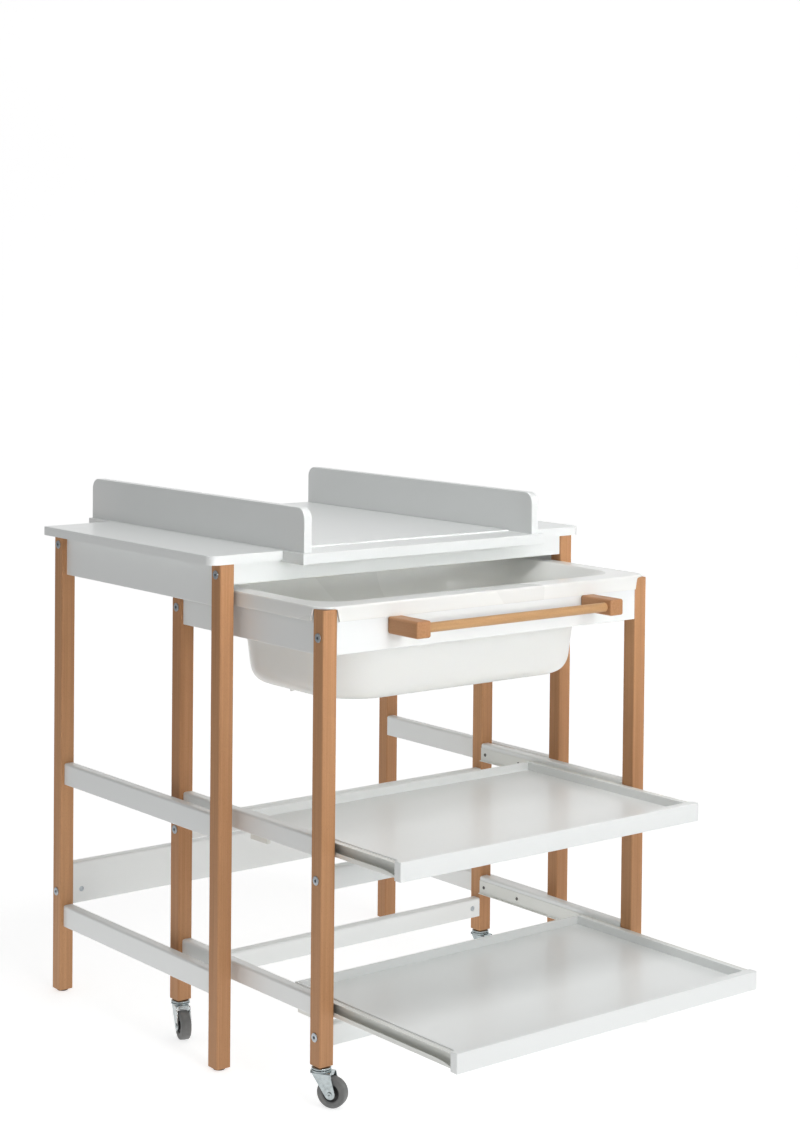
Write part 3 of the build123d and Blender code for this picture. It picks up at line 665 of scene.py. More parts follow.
@dataclass(frozen=True)
class Moulded:
    """Rubber or plastic with a fine moulded grain and clouds of dust."""

    name: str
    colour: Colour
    dusty: Colour
    roughness: Span
    dust_scale: float = 90.0
    dust_range: Span = (0.45, 0.75)
    grain_scale: float = 1500.0
    grain_range: Span = (0.3, 0.7)
    grain_depth: float = 0.00003
    grain_strength: float = 0.6

    def build(self) -> bpy.types.Material:
        """Make the material.

        Returns:
            The new material.
        """
        m = NodeMaterial(self.name)
        cloud = m.noise(m.coordinates, self.dust_scale, 4.0)
        grain = m.noise(m.coordinates, self.grain_scale, 2.0)
        m.feed(m.mix(m.ramp(cloud, *self.dust_range), self.colour, self.dusty), "Base Color")
        m.feed(m.ramp(grain, *self.grain_range, *self.roughness), "Roughness")
        m.bump(grain, self.grain_depth, self.grain_strength)
        return m.material


WHITE = (0.87, 0.89, 0.885)
OFF_WHITE = (0.855, 0.875, 0.868)
ENAMEL = (0.8, 0.81, 0.78)
ENAMEL_SHADE = (0.77, 0.78, 0.74)
DOWEL_LIGHT = (0.6, 0.36, 0.17)
DOWEL_DARK = (0.47, 0.26, 0.115)
ZINC = (0.5, 0.54, 0.57)
ZINC_WORN = (0.36, 0.39, 0.42)
DARK_ZINC = (0.16, 0.155, 0.15)
DARK_ZINC_WORN = (0.24, 0.235, 0.225)
CHROME = (0.47, 0.52, 0.53)
CHROME_WORN = (0.36, 0.4, 0.41)
TYRE_GREY = (0.17, 0.172, 0.17)
TYRE_DUST = (0.22, 0.22, 0.215)
BLACK = (0.025, 0.025, 0.026)
BLACK_DUST = (0.05, 0.05, 0.048)
GLIDE = (0.08, 0.065, 0.05)
GLIDE_DUST = (0.13, 0.11, 0.09)


class Finishes:
    """Every finish of the object, each made once."""

    def __init__(self) -> None:
        """Make the materials."""
        self.beech = {g: Beech(f"beech_{g.name.lower()}", g).build() for g in Grain}
        self.dowel = Beech("beech_dowel", Grain.X, DOWEL_LIGHT, DOWEL_DARK).build()
        self.lacquer = Lacquer("white_lacquer", WHITE, OFF_WHITE, coat=0.15).build()
        self.enamel = Lacquer("runner_enamel", ENAMEL, ENAMEL_SHADE, (0.25, 0.35)).build()
        self.tub = MilkyPlastic("tub_plastic").build()
        self.zinc = Metal("zinc_hardware", ZINC, ZINC_WORN, (0.22, 0.4)).build()
        self.dark_zinc = Metal("dark_screws", DARK_ZINC, DARK_ZINC_WORN, (0.3, 0.5)).build()
        self.chrome = Metal("caster_steel", CHROME, CHROME_WORN, (0.12, 0.24)).build()
        self.tyre = Moulded("grey_tyre", TYRE_GREY, TYRE_DUST, (0.55, 0.75)).build()
        self.hub = Moulded("black_hub", BLACK, BLACK_DUST, (0.35, 0.5)).build()
        self.glide = Moulded("dark_glide", GLIDE, GLIDE_DUST, (0.45, 0.65)).build()


def dress(piece: bpy.types.Object, material: bpy.types.Material) -> None:
    """Give a piece its material, in place of what it had."""
    piece.data.materials.clear()
    piece.data.materials.append(material)


def install(
    piece: bpy.types.Object,
    body: str,
    nodes: Sequence[str],
    material: bpy.types.Material,
) -> None:
    """Dress a finished piece, let it ride on its body and let it stand for its CAD nodes.

    Args:
        piece: the finished object.
        body: the CAD body that it rides on.
        nodes: CAD nodes that it replaces; a hub has none, because the tyre stands for the wheel.
        material: its material.
    """
    dress(piece, material)
    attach(piece, body)
    if nodes:
        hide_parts(*nodes)
    log.info("%s rides on %s and stands for %s", piece.name, body, ", ".join(nodes) or "no node")


# The object's sub-assemblies


@dataclass
class CarriedNodes:
    """CAD nodes whose shape is right as it is, dressed with their finishes."""

    finishes: Finishes

    def material(self, node: str, slot: str) -> bpy.types.Material:
        """Finish of a node: wood by its grain, everything else by its slot.

        Args:
            node: the CAD node's name.
            slot: its material slot in the record.

        Returns:
            Its material.
        """
        if "_leg_" in node:
            return self.finishes.beech[Grain.Z]
        if node == "handle_blocks":
            return self.finishes.beech[Grain.Y]
        if node == "handle_bar":
            return self.finishes.dowel
        by_slot = {
            "white_lacquer": self.finishes.lacquer,
            "runner_enamel": self.finishes.enamel,
            "zinc_hardware": self.finishes.zinc,
            "caster_steel": self.finishes.chrome,
            "grey_tyre": self.finishes.tyre,
            "dark_glide": self.finishes.glide,
            "tub_plastic": self.finishes.tub,
        }
        return by_slot[slot]

    def build(self) -> None:
        """Dress every CAD node; those that are replaced are hidden later."""
        slots = {s["node"]: s["material_slot"] for s in frame["record"]["subparts"]}
        for name, node in frame["nodes"].items():
            dress(node, self.material(name, slots[name]))
            log.info("%s keeps its CAD shape", name)


def box_of(node: str) -> tuple[Array, Array]:
    """Lowest and highest corners of a CAD node, in millimetres."""
    low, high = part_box(node)
    return np.array(low) / MM, np.array(high) / MM


def middle_of(node: str) -> Array:
    """Centre of a CAD node's box, in millimetres."""
    low, high = box_of(node)
    return (low + high) / 2


def settle(piece: bpy.types.Object) -> None:
    """Apply a piece's modifiers and shade the result smooth between its real edges.

    Args:
        piece: the object whose mesh is replaced by its finished one.
    """
    graph = bpy.context.evaluated_depsgraph_get()
    settled = bpy.data.meshes.new_from_object(piece.evaluated_get(graph))
    rough = piece.data
    piece.modifiers.clear()
    piece.data = settled
    bpy.data.meshes.remove(rough)
    settled.shade_smooth()
    settled.set_sharp_from_angle(angle=SHARP_ANGLE)


def carve(
    piece: bpy.types.Object,
    tools: Sequence[bpy.types.Object],
    carving: Carving = Carving.CUT,
) -> None:
    """Join or subtract solid tools, one after the other, and delete them.

    Args:
        piece: the solid that is changed.
        tools: closed solids.
        carving: whether the tools cut the piece or join it.
    """
    for tool in tools:
        modifier = piece.modifiers.new("carve", "BOOLEAN")
        modifier.operation = carving.value
        modifier.solver = "EXACT"
        modifier.object = tool
    settle(piece)
    for tool in tools:
        mesh = tool.data
        bpy.data.objects.remove(tool)
        bpy.data.meshes.remove(mesh)


RIM_POINTS = 5
BLOCK_OUTLINE = RoundedRectangle(corner_steps=6, side_steps=4)


def soft_block(low: Array, high: Array, corner: float, edge: float) -> Array:
    """Rings of a block with rounded upright corners and rounded rims above and below.

    The rim is a quarter circle: its inset is edge * (1 - cos t) and its height edge * (1 - sin t).

    Args:
        low: lowest corner in millimetres.
        high: highest corner.
        corner: radius of the upright corners.
        edge: radius of the rims.

    Returns:
        Closed rings, from the underside to the top.
    """
    t = np.linspace(np.pi / 2, 0, RIM_POINTS)
    inset = np.concatenate([edge * (1 - np.cos(t)), edge * (1 - np.cos(t[::-1]))])
    rise = edge * (1 - np.sin(t))
    z = np.concatenate([low[2] + edge - edge * np.sin(t), high[2] - rise[::-1]])
    half = (np.array(high) - low)[:2] / 2
    radius = np.maximum(corner - inset, edge / 4)
    stations = np.column_stack([half[0] - inset, half[1] - inset, radius, z])
    centre = (np.array(high) + low)[:2] / 2
    return BLOCK_OUTLINE.rings(stations, centre)


def thickened(profile: Array, thickness: float) -> tuple[Array, Array]:
    """A sheet's two faces: the profile, and the profile moved along its normal by the thickness.

    Args:
        profile: (n, 2) array of points.
        thickness: how far the second face is moved.

    Returns:
        The two faces as (n, 2) arrays.
    """
    run = np.gradient(profile, axis=0)
    run /= np.linalg.norm(run, axis=1, keepdims=True)
    normal = np.stack([-run[:, 1], run[:, 0]], axis=-1)
    return profile, profile + thickness * normal


@dataclass
class Bathtub:
    """Tub in one moulding, in millimetres.

    A notch frees each leg. Its inner faces lean outwards by notch_steps times notch_lean, each
    step at its own depth of notch_depths under the rim's top.
    """

    finishes: Finishes
    wall: float = 3.0
    rim_corner: float = 30.0
    rim_edge: float = 4.5
    skirt_height: float = 25.1
    mouth_half: Span = (330.0, 179.0)
    mouth_corner: float = 57.0
    mouth_edge: float = 8.0
    mouth_drop: float = 2.0
    mouth_flare: float = 3.0
    lip_edge: float = 3.0
    shoulder_drop: float = 34.0
    bowl_half: Span = (292.0, 171.0)
    bowl_corner: float = 101.0
    shoulder_edge: float = 22.0
    bowl_taper: float = 7.4
    bottom_edge: float = 34.0
    floor_half: Span = (170.0, 62.0)
    floor_corner: float = 40.0
    notch_reach: float = 34.0
    notch_lean: float = 4.5
    notch_steps: tuple[float, ...] = (0.0, 0.75, 1.0, 1.45, 2.4)
    notch_depths: tuple[float, ...] = (27.5, 9.0, 6.0, 4.3, 3.7)
    notch_overrun: float = 5.0
    drain_radius: float = 10.0
    drain_overrun: float = 2.0
    boss_radius: float = 13.5
    boss_length: float = 6.0
    boss_edge: float = 1.0

    def stations(self) -> Array:
        """Rows of half_x, half_y, corner radius and z: the bowl's floor, the rim and back.

        Returns:
            (m, 4) array of the moulding's closed section.
        """
        low, high = box_of("bathtub")
        half_x, half_y = (high - low)[:2] / 2
        top = high[2]
        bottom = low[2] + self.boss_length + self.wall
        shoulder = top - self.shoulder_drop
        fall = (shoulder - bottom) * math.tan(math.radians(self.bowl_taper))
        bowl_x, bowl_y = self.bowl_half
        mouth_x, mouth_y = self.mouth_half
        w, flare = self.wall, self.mouth_flare
        floor = (*self.floor_half, self.floor_corner)
        corners = [
            (*floor, bottom),
            (bowl_x - fall, bowl_y - fall, self.bowl_corner - fall, bottom),
            (bowl_x, bowl_y, self.bowl_corner, shoulder),
            (mouth_x, mouth_y, self.mouth_corner, top - self.mouth_drop),
            (mouth_x + flare, mouth_y + flare, self.mouth_corner + flare, top),
            (half_x, half_y, self.rim_corner, top),
            (half_x, half_y, self.rim_corner, top - self.skirt_height),
            (half_x - w, half_y - w, self.rim_corner - w, top - self.skirt_height),
            (half_x - w, half_y - w, self.rim_corner - w, top - w),
            (mouth_x + w, mouth_y + w, self.mouth_corner + w, top - w),
            (bowl_x + w, bowl_y + w, self.bowl_corner + w, shoulder - w / 2),
            (bowl_x - fall + w, bowl_y - fall + w, self.bowl_corner - fall + w, bottom - w),
            (*floor, bottom - w),
        ]
        lip, edge = self.lip_edge, self.wall / 3
        radii = [0, self.bottom_edge, self.shoulder_edge, lip, lip, self.rim_edge, edge, edge, edge]
        radii += [self.mouth_edge, self.shoulder_edge, self.bottom_edge, 0]
        return rounded_profile(corners, radii, steps=9)

    def notch(self, side: int, end: int) -> bpy.types.Object:
        """Tool that frees the leg on one side (-1 or 1) of one end (-1 or 1).

        Args:
            side: -1 for the left, 1 for the right.
            end: -1 for the front, 1 for the rear.

        Returns:
            The tool, a closed solid.
        """
        low, high = box_of("bathtub")
        centre_y = (low[1] + high[1]) / 2
        half_x, half_y = (high - low)[:2] / 2
        lean = np.array(self.notch_steps) * self.notch_lean
        z = high[2] - np.array(self.notch_depths)
        x_in = half_x - self.notch_reach + lean
        y_in = half_y - self.notch_reach + lean
        x_out, y_out = half_x + self.notch_overrun, half_y + self.notch_overrun
        corners = np.array([(0, 0), (1, 0), (1, 1), (0, 1)])
        rings = np.zeros((len(z), 4, 3))
        rings[..., 0] = side * np.where(corners[:, 0], x_out, x_in[:, None])
        rings[..., 1] = centre_y + end * np.where(corners[:, 1], y_out, y_in[:, None])
        rings[..., 2] = z[:, None]
        shell = Shell()
        shell.add_rings(rings)
        return shell.build("notch")

    def drain(self) -> Array:
        """Place of the drain's axis, at the height of the boss's lower end.

        Returns:
            X, Y and Z in millimetres.
        """
        low, _ = box_of("bathtub")
        x, y, _ = middle_of("drain_plug")
        return np.array([x, y, low[2]])

    def boss(self) -> bpy.types.Object:
        """Short thick tube under the floor round the drain.

        Returns:
            The tube, still closed.
        """
        length = self.boss_length + self.wall / 2
        corners = [(0, 0), (self.boss_radius, 0), (self.boss_radius, length), (0, length)]
        shell = Shell()
        shell.add_rings(spindle(corners, [0, self.boss_edge, 0, 0]) + self.drain())
        return shell.build("boss")

    def bore(self) -> bpy.types.Object:
        """Tool for the drain's hole, longer than the boss and the floor together.

        Returns:
            The tool, a closed solid.
        """
        r, end = self.drain_radius, self.boss_length + 3 * self.wall
        shell = Shell()
        shell.add_rings(lathe(np.array([(r, -self.drain_overrun), (r, end)])) + self.drain())
        return shell.build("bore")

    def build(self) -> None:
        """Mould the tub, join its boss and cut its drain and notches."""
        low, high = box_of("bathtub")
        shell = Shell()
        centre = (0.0, (low[1] + high[1]) / 2)
        outline = RoundedRectangle(corner_steps=12, side_steps=20)
        shell.add_rings(outline.rings(self.stations(), centre))
        piece = shell.build("bathtub_moulding")
        carve(piece, [self.boss()], Carving.JOIN)
        carve(piece, [self.bore()] + [self.notch(s, e) for s in (-1, 1) for e in (-1, 1)])
        install(piece, "tub", ["bathtub"], self.finishes.tub)


@dataclass
class DrainPlug:
    """Stopper in the tub's drain, with a flange and a loop to pull it by, in millimetres."""

    finishes: Finishes
    tip_radius: float = 3.5
    tip_height: float = 7.0
    radius: float = 9.9
    flange_radius: float = 15.0
    flange_thickness: float = 3.0
    crown_radius: float = 5.0
    crown_height: float = 3.4
    loop_height: float = 15.0
    loop_half: Span = (7.0, 2.0)
    loop_foot: float = 2.8
    loop_corner: float = 1.9
    loop_edge: float = 1.6
    eye_radius: float = 2.6
    eye_drop: float = 5.2
    eye_half_length: float = 5.0

    def stopper(self, seat: float) -> Array:
        """Rings of the stopper and its flange, whose underside is at the seat's height.

        Args:
            seat: height of the flange's underside over the tip.

        Returns:
            (m, n, 3) rings round the Z axis.
        """
        crown = seat + self.crown_height
        corners = [
            (0, 0),
            (self.tip_radius, 0),
            (self.tip_radius, self.tip_height),
            (self.radius, self.tip_height),
            (self.radius, seat),
            (self.flange_radius, seat),
            (self.flange_radius, seat + self.flange_thickness),
            (self.crown_radius, crown),
            (0, crown),
        ]
        return spindle(corners, [0, 1.2, 0.6, 1.0, 0.4, 0.8, 1.6, 2, 0])

    def build(self) -> None:
        """Make the stopper with its flange and loop."""
        low, high = box_of("drain_plug")
        base = middle_of("drain_plug") * (1, 1, 0) + (0, 0, low[2])
        rise = high[2] - low[2]
        seat = rise - self.loop_height
        shell = Shell()
        shell.add_rings(self.stopper(seat) + base)
        half_x, half_y = self.loop_half
        foot, top = base + (-half_x, -half_y, seat + self.loop_foot), base + (half_x, half_y, rise)
        shell.add_rings(soft_block(foot, top, self.loop_corner, self.loop_edge))
        piece = shell.build("drain_stopper")
        hole = Shell()
        r, end = self.eye_radius, self.eye_half_length
        eye = lathe(np.array([(r, -end), (r, end)]), 24)
        hole.add_rings(placed(eye, facing(base + (0, 0, rise - self.eye_drop), (0, 1, 0))))
        carve(piece, [hole.build("eye")])
        install(piece, "plug", ["drain_plug"], self.finishes.tub)


@dataclass
class Caster:
    """One swivel caster, drawn with its stem on the Z axis and its wheel trailing along +X.

    The race's steps are pairs of inset from its radius and rise over the plate, and the neck's
    are pairs of the same inset and rise over the top. The hub's steps are pairs of radius over
    the hub's own and depth under the tyre's side.
    """

    finishes: Finishes
    corner: str
    trail: float = 20.0
    axle_height: float = 25.0
    top: float = 66.2
    plate_top: float = 58.0
    plate_front: float = 17.5
    plate_rear: float = 20.0
    plate_crown: float = 3.5
    cheek_outer: float = 12.6
    sheet: float = 2.0
    bend: float = 3.6
    cheek_end: float = 9.0
    bend_steps: int = 8
    foot_points: int = 16
    cheek_points: int = 10
    roof_points: int = 12
    length_points: int = 13
    lip_drop: float = 6.5
    race_radius: float = 16.5
    race_steps: tuple[Span, ...] = (
        (0.0, -0.4),
        (0.0, 2.0),
        (2.6, 2.2),
        (2.6, 3.0),
        (0.3, 3.1),
        (0.3, 6.0),
    )
    neck_steps: tuple[Span, ...] = ((6.0, -0.9), (7.5, 0.0))
    stem_radius: float = 4.0
    stem_length: float = 34.0
    rivet_radius: float = 3.9
    rivet_height: float = 1.6
    rivet_shank: float = 3.0
    rivet_sink: float = 0.1
    rivet_dimple: float = 0.9
    tyre_radius: float = 25.0
    tyre_half_width: float = 9.0
    hub_radius: float = 14.0
    tyre_bevel: Span = (1.6, 1.4)
    tyre_crown: float = 0.5
    hub_bore: float = 3.05
    hub_boss: Span = (7.0, 10.0)
    hub_dish: float = 3.2
    hub_steps: tuple[Span, ...] = ((-1.6, 3.0), (-1.2, 1.0), (0.05, 1.0))
    race_points: int = 64
    rivet_points: int = 32
    wheel_points: int = 72

    def matrix(self) -> Matrix:
        """Turn to the swivel angle that the spin joint's axis gives, under the leg's middle.

        Returns:
            The matrix from the caster's own axes to the object's.
        """
        joints = {j["name"]: j for j in frame["record"]["behaviour"]["joints"]}
        axis = joints[f"spin_{self.corner}"]["axis"]
        x, y, _ = middle_of(f"trolley_leg_{self.corner}")
        swivel = Matrix.Rotation(math.atan2(-axis[0], axis[1]), 4, "Z")
        return Matrix.Translation((x, y, 0)) @ swivel

    def reach(self, z: Array, start: float, side: int) -> Array:
        """X of a cheek's edge at height z: a straight line that is a tangent of the round end.

        The line leaves (start, plate height) and touches the circle round the axle; below the
        touching point the edge is the circle itself, trail +- sqrt(end^2 - (z - axle)^2).

        Args:
            z: heights.
            start: X of the edge at the plate.
            side: -1 for the front edge, 1 for the rear one.

        Returns:
            X at every height.
        """
        dx, dz = self.trail - start, self.axle_height - self.plate_top
        distance = math.hypot(dx, dz)
        turn = math.atan2(dz, dx) + side * math.asin(self.cheek_end / distance)
        length = math.sqrt(distance**2 - self.cheek_end**2)
        touch = self.plate_top + length * math.sin(turn)
        line = start + (z - self.plate_top) / math.tan(turn)
        drop = np.clip(z - self.axle_height, -self.cheek_end, self.cheek_end)
        round_end = self.trail + side * np.sqrt(self.cheek_end**2 - drop**2)
        return np.where(z > touch, line, round_end)

    def fork(self, shell: Shell) -> None:
        """Bent sheet: a U in Y and Z whose length along X follows the cheeks' edges.

        Args:
            shell: the solids that the new one is added to.
        """
        low = self.axle_height - self.cheek_end
        corners = [(-1, low), (-1, self.plate_top), (1, self.plate_top), (1, low)]
        corners = [(y * self.cheek_outer, z) for y, z in corners]
        arch = rounded_profile(corners, [0, self.bend, self.bend, 0], self.bend_steps)[1:-1]
        turn = np.linspace(-np.pi / 2, np.pi / 3, self.foot_points)
        foot_z = self.axle_height + self.cheek_end * np.sin(turn)
        foot = np.column_stack([np.full_like(turn, -self.cheek_outer), foot_z])
        rise = np.linspace(foot[-1], arch[0], self.cheek_points)[1:-1]
        cheek = np.concatenate([foot, rise])
        left_bend, right_bend = np.split(arch, 2)
        roof = np.linspace(left_bend[-1], right_bend[0], self.roof_points)[1:-1]
        other_cheek = cheek[::-1] * (-1, 1)
        profile = np.concatenate([cheek, left_bend, roof, right_bend, other_cheek])
        t = np.linspace(0, 1, self.length_points)[:, None]
        y, z = profile.T
        crown = self.plate_crown * (y / self.cheek_outer) ** 2
        left = self.reach(z, -self.plate_front + self.plate_crown, -1)
        left = np.where(np.abs(y) < self.cheek_outer, -self.plate_front + crown, left)
        right = self.reach(z, self.plate_rear, 1)
        x = left + t * (right - left)
        faces = []
        for face in thickened(profile, -self.sheet):
            y, z = (np.broadcast_to(column, x.shape) for column in face.T)
            faces.append(placed(np.stack([x, y, z], axis=-1), self.matrix()))
        shell.add_sheet(*faces)
        inner_half = self.cheek_outer - self.bend
        lip_low = (self.plate_rear - self.sheet, -inner_half, self.plate_top - self.lip_drop)
        lip_high = (self.plate_rear, inner_half, self.plate_top - self.sheet / 2)
        lip = soft_block(np.array(lip_low), np.array(lip_high), self.sheet / 3, self.sheet / 4)
        shell.add_rings(placed(lip, self.matrix()))

    def race(self, shell: Shell) -> None:
        """Two rings with a dark gap between them, under a neck and the stem.

        Args:
            shell: the solids that the new one is added to.
        """
        r, plate, top = self.race_radius, self.plate_top, self.top
        end = top + self.stem_length
        corners = [(0, plate + self.race_steps[0][1])]
        corners += [(r - inset, plate + rise) for inset, rise in self.race_steps]
        corners += [(r - inset, top + rise) for inset, rise in self.neck_steps]
        corners += [(self.stem_radius, top), (self.stem_radius, end), (0, end)]
        radii = [0, 0.9, 0.9, 0.3, 0.3, 1.2, 2.4, 1.0, 0.6, 0.2, 1.2, 0]
        rings = spindle(corners, radii, count=self.race_points)
        shell.add_rings(placed(rings, self.matrix()))

    def rivet(self, shell: Shell) -> None:
        """Axle with a domed, dimpled head at each end.

        Args:
            shell: the solids that the new one is added to.
        """
        end = self.cheek_outer
        seat = end - self.rivet_sink
        r, h = self.rivet_radius, self.rivet_height
        half = [
            (self.rivet_shank, 0),
            (self.rivet_shank, seat),
            (r, seat),
            (r, end + h * 0.6),
            (r * 0.55, end + h),
            (self.rivet_dimple, end + h * 0.45),
        ]
        right = rounded_profile(half, [0, 0, 0, 0.9, 0.8, 0], 6)
        profile = np.concatenate([right[::-1] * (1, -1), right[1:]])
        shell.add_rings(self.on_axle(profile, self.rivet_points))

    def on_axle(self, profile: Array, count: int) -> Array:
        """Rings of a profile turned round the wheel's axle.

        Args:
            profile: (m, 2) array of radius and place along the axle.
            count: points round it.

        Returns:
            (m, count, 3) rings, closed round the axle.
        """
        axle = facing((self.trail, 0, self.axle_height), (0, 1, 0))
        return placed(placed(lathe(profile, count), axle), self.matrix())

    def wheel(self) -> None:
        """Make the crowned tyre and the black hub inside it."""
        r, w, h = self.tyre_radius, self.tyre_half_width, self.hub_radius
        bevel_r, bevel_w = self.tyre_bevel
        corners = [(h, -w + bevel_w), (h + bevel_r, -w), (r - self.tyre_crown, -w), (r, 0)]
        half = rounded_profile(corners, [0, 0.8, 3.4, 0], 9)
        profile = np.concatenate([half, half[-2::-1] * (1, -1)])
        tyre = Shell()
        tyre.add_loop(self.on_axle(profile, self.wheel_points))
        piece = tyre.build(f"tyre_{self.corner}")
        body = f"wheel_{self.corner}"
        install(piece, body, [f"caster_wheel_{self.corner}"], self.finishes.tyre)
        boss_r, boss_w = self.hub_boss
        corners = [(self.hub_bore, -boss_w), (boss_r, -boss_w), (boss_r, -w + self.hub_dish)]
        corners += [(h + out, -w + depth) for out, depth in self.hub_steps]
        side = rounded_profile(corners, [0, 0.8, 1.2, 1.0, 0.5, 0], 5)
        profile = np.concatenate([side, side[::-1] * (1, -1)])
        hub = Shell()
        hub.add_loop(self.on_axle(profile, self.wheel_points))
        install(hub.build(f"hub_{self.corner}"), body, [], self.finishes.hub)

    def build(self) -> None:
        """Build the fork with its race and rivet, and the wheel."""
        shell = Shell()
        self.fork(shell)
        self.race(shell)
        self.rivet(shell)
        piece = shell.build(f"fork_{self.corner}")
        body, node = f"caster_{self.corner}", f"caster_frame_{self.corner}"
        install(piece, body, [node], self.finishes.chrome)
        self.wheel()


@dataclass
class Hardware:
    """Connector bolts and barrel nuts, in millimetres.

    The hex socket's rim is wider by a factor and bevelled over a depth: hex_bevel. The bolts are
    turned differently: by so many degrees for the side and for each millimetre of height.
    """

    finishes: Finishes
    head_radius: float = 7.5
    head_height: float = 1.6
    head_points: int = 48
    socket_land: float = 3.0
    hex_apothem: float = 2.5
    hex_depth: float = 3.2
    hex_bevel: Span = (1.06, 0.12)
    bolt_turn: Span = (37.0, 11.0)
    shank_radius: float = 3.0
    shank_length: float = 54.0
    nut_radius: float = 5.0
    nut_slot: tuple[float, float, float] = (1.0, 0.7, 1.0)
    nut_recess: float = 0.6
    nut_setback: float = 18.0
    nut_length: float = 16.0
    back_rail_bolt_rise: float = 25.0
    panel_bolt_rise: float = 29.0

    def bolt(self) -> Array:
        """Rings of one bolt along +Z, its head's underside at 0.

        The socket's ring lies on a hexagon: radius = apothem / cos(angle folded into +-30 degrees).

        Returns:
            (m, n, 3) rings, from the shank's end to the socket's bottom.
        """
        count, shank = self.head_points, self.shank_radius
        r, h = self.head_radius, self.head_height
        corners = [(shank, -self.shank_length), (shank, 0), (r, 0), (r, h), (self.socket_land, h)]
        round_part = lathe(rounded_profile(corners, [0, 0, 0.15, 0.9, 0], 6), count)
        angle = np.arange(count) * 2 * np.pi / count
        folded = (angle + np.pi / 6) % (np.pi / 3) - np.pi / 6
        hexagon = circle(count) * (self.hex_apothem / np.cos(folded))[:, None]
        widening, bevel = self.hex_bevel
        levels = np.array([h, h - bevel, h - self.hex_depth])
        grow = np.array([widening, 1.0, 1.0])
        socket = np.zeros((3, count, 3))
        socket[..., :2] = hexagon[None] * grow[:, None, None]
        socket[..., 2] = levels[:, None]
        return np.concatenate([round_part, socket])

    def barrel_nut(self) -> bpy.types.Object:
        """One slotted barrel along +Z, its slotted face at 0.

        Returns:
            The finished object, not yet dressed.
        """
        r, length = self.nut_radius, self.nut_length
        over, half_width, depth = self.nut_slot
        barrel, slot = Shell(), Shell()
        barrel.add_rings(
            spindle([(0, 0), (r, 0), (r, length), (0, length)], [0, 0.5, 0.5, 0], count=32)
        )
        slot_low = np.array([-r - over, -half_width, -depth])
        slot.add_rings(soft_block(slot_low, np.array([r + over, half_width, depth]), 0.1, 0.1))
        piece = barrel.build("nut")
        carve(piece, [slot.build("slot")])
        return piece

    def table_places(self) -> list[Place]:
        """Y, Z and nut face of the table's bolts.

        Returns:
            One place for each pair of bolts, left and right.
        """
        front, rear = middle_of("table_leg_front_left")[1], middle_of("table_leg_rear_left")[1]
        apron_z = middle_of("apron_front")[2]
        low, _ = box_of("back_rail")
        return [
            (front, apron_z, box_of("apron_front")[1][1]),
            (rear, apron_z, box_of("apron_rear")[0][1]),
            (rear, low[2] + self.back_rail_bolt_rise, low[1]),
        ]

    def trolley_places(self) -> list[Place]:
        """Y, Z and nut face of the trolley's bolts.

        Returns:
            One place for each pair of bolts, left and right.
        """
        front, rear = middle_of("trolley_leg_front_left")[1], middle_of("trolley_leg_rear_left")[1]
        low, high = box_of("trolley_front_panel")
        panel_z = low[2] + self.panel_bolt_rise
        places = [(front, panel_z, high[1]), (rear, panel_z, box_of("trolley_rear_panel")[0][1])]
        for level in ("upper", "lower"):
            for end, y, face in (("front", front, 1), ("rear", rear, 0)):
                node = f"cross_rail_{end}_{level}"
                places.append((y, middle_of(node)[2], box_of(node)[face][1]))
        return places

    def fit(self, unit: str, places: Sequence[Place]) -> None:
        """Put a bolt and a barrel nut at each place of a unit, on both sides.

        Args:
            unit: the table or the trolley, by its body's name.
            places: Y and Z of each bolt, and Y of the face that its nut sits in.
        """
        low, high = box_of(f"{unit}_leg_front_left")
        outer, inner = abs(low[0]), abs(high[0])
        bolts, nuts = Shell(), Shell()
        nut = self.barrel_nut()
        per_side, per_height = self.bolt_turn
        for y, z, face in places:
            into = 1 if y > face else -1
            for side in (-1, 1):
                turn = math.radians(per_side * side + per_height * z)
                axis = facing((side * outer, y, z), (side, 0, 0)) @ Matrix.Rotation(turn, 4, "Z")
                bolts.add_rings(placed(self.bolt(), axis))
                seat = (side * (inner - self.nut_setback), face + into * self.nut_recess, z)
                nuts.add_mesh(nut.data, facing(seat, (0, into, 0)))
        bpy.data.objects.remove(nut)
        bolt_row = bolts.build(f"{unit}_connector_bolts")
        install(bolt_row, unit, [f"{unit}_bolts"], self.finishes.zinc)
        nut_row = nuts.build(f"{unit}_cross_nuts")
        install(nut_row, unit, [f"{unit}_barrel_nuts"], self.finishes.zinc)

    def build(self) -> None:
        """Fit the table's and the trolley's hardware."""
        self.fit("table", self.table_places())
        self.fit("trolley", self.trolley_places())


@dataclass
class Glides:
    """Dark round glides under the table's legs, with their pins, in millimetres."""

    finishes: Finishes
    radius: float = 10.5
    height: float = 4.0
    pin_radius: float = 2.5
    pin_end: float = 18.0

    def build(self) -> None:
        """Make the four glides with their rounded lower rims and pins."""
        shell = Shell()
        r, h, pin, end = self.radius, self.height, self.pin_radius, self.pin_end
        corners = [(0, 0), (r, 0), (r, h), (pin, h), (pin, end), (0, end)]
        glide = spindle(corners, [0, 1.8, 0.4, 0, 0.5, 0])
        for row in ("front", "rear"):
            for side in ("left", "right"):
                shell.add_rings(glide + middle_of(f"table_leg_{row}_{side}") * (1, 1, 0))
        piece = shell.build("leg_end_glides")
        install(piece, "table", ["leg_glides"], self.finishes.glide)


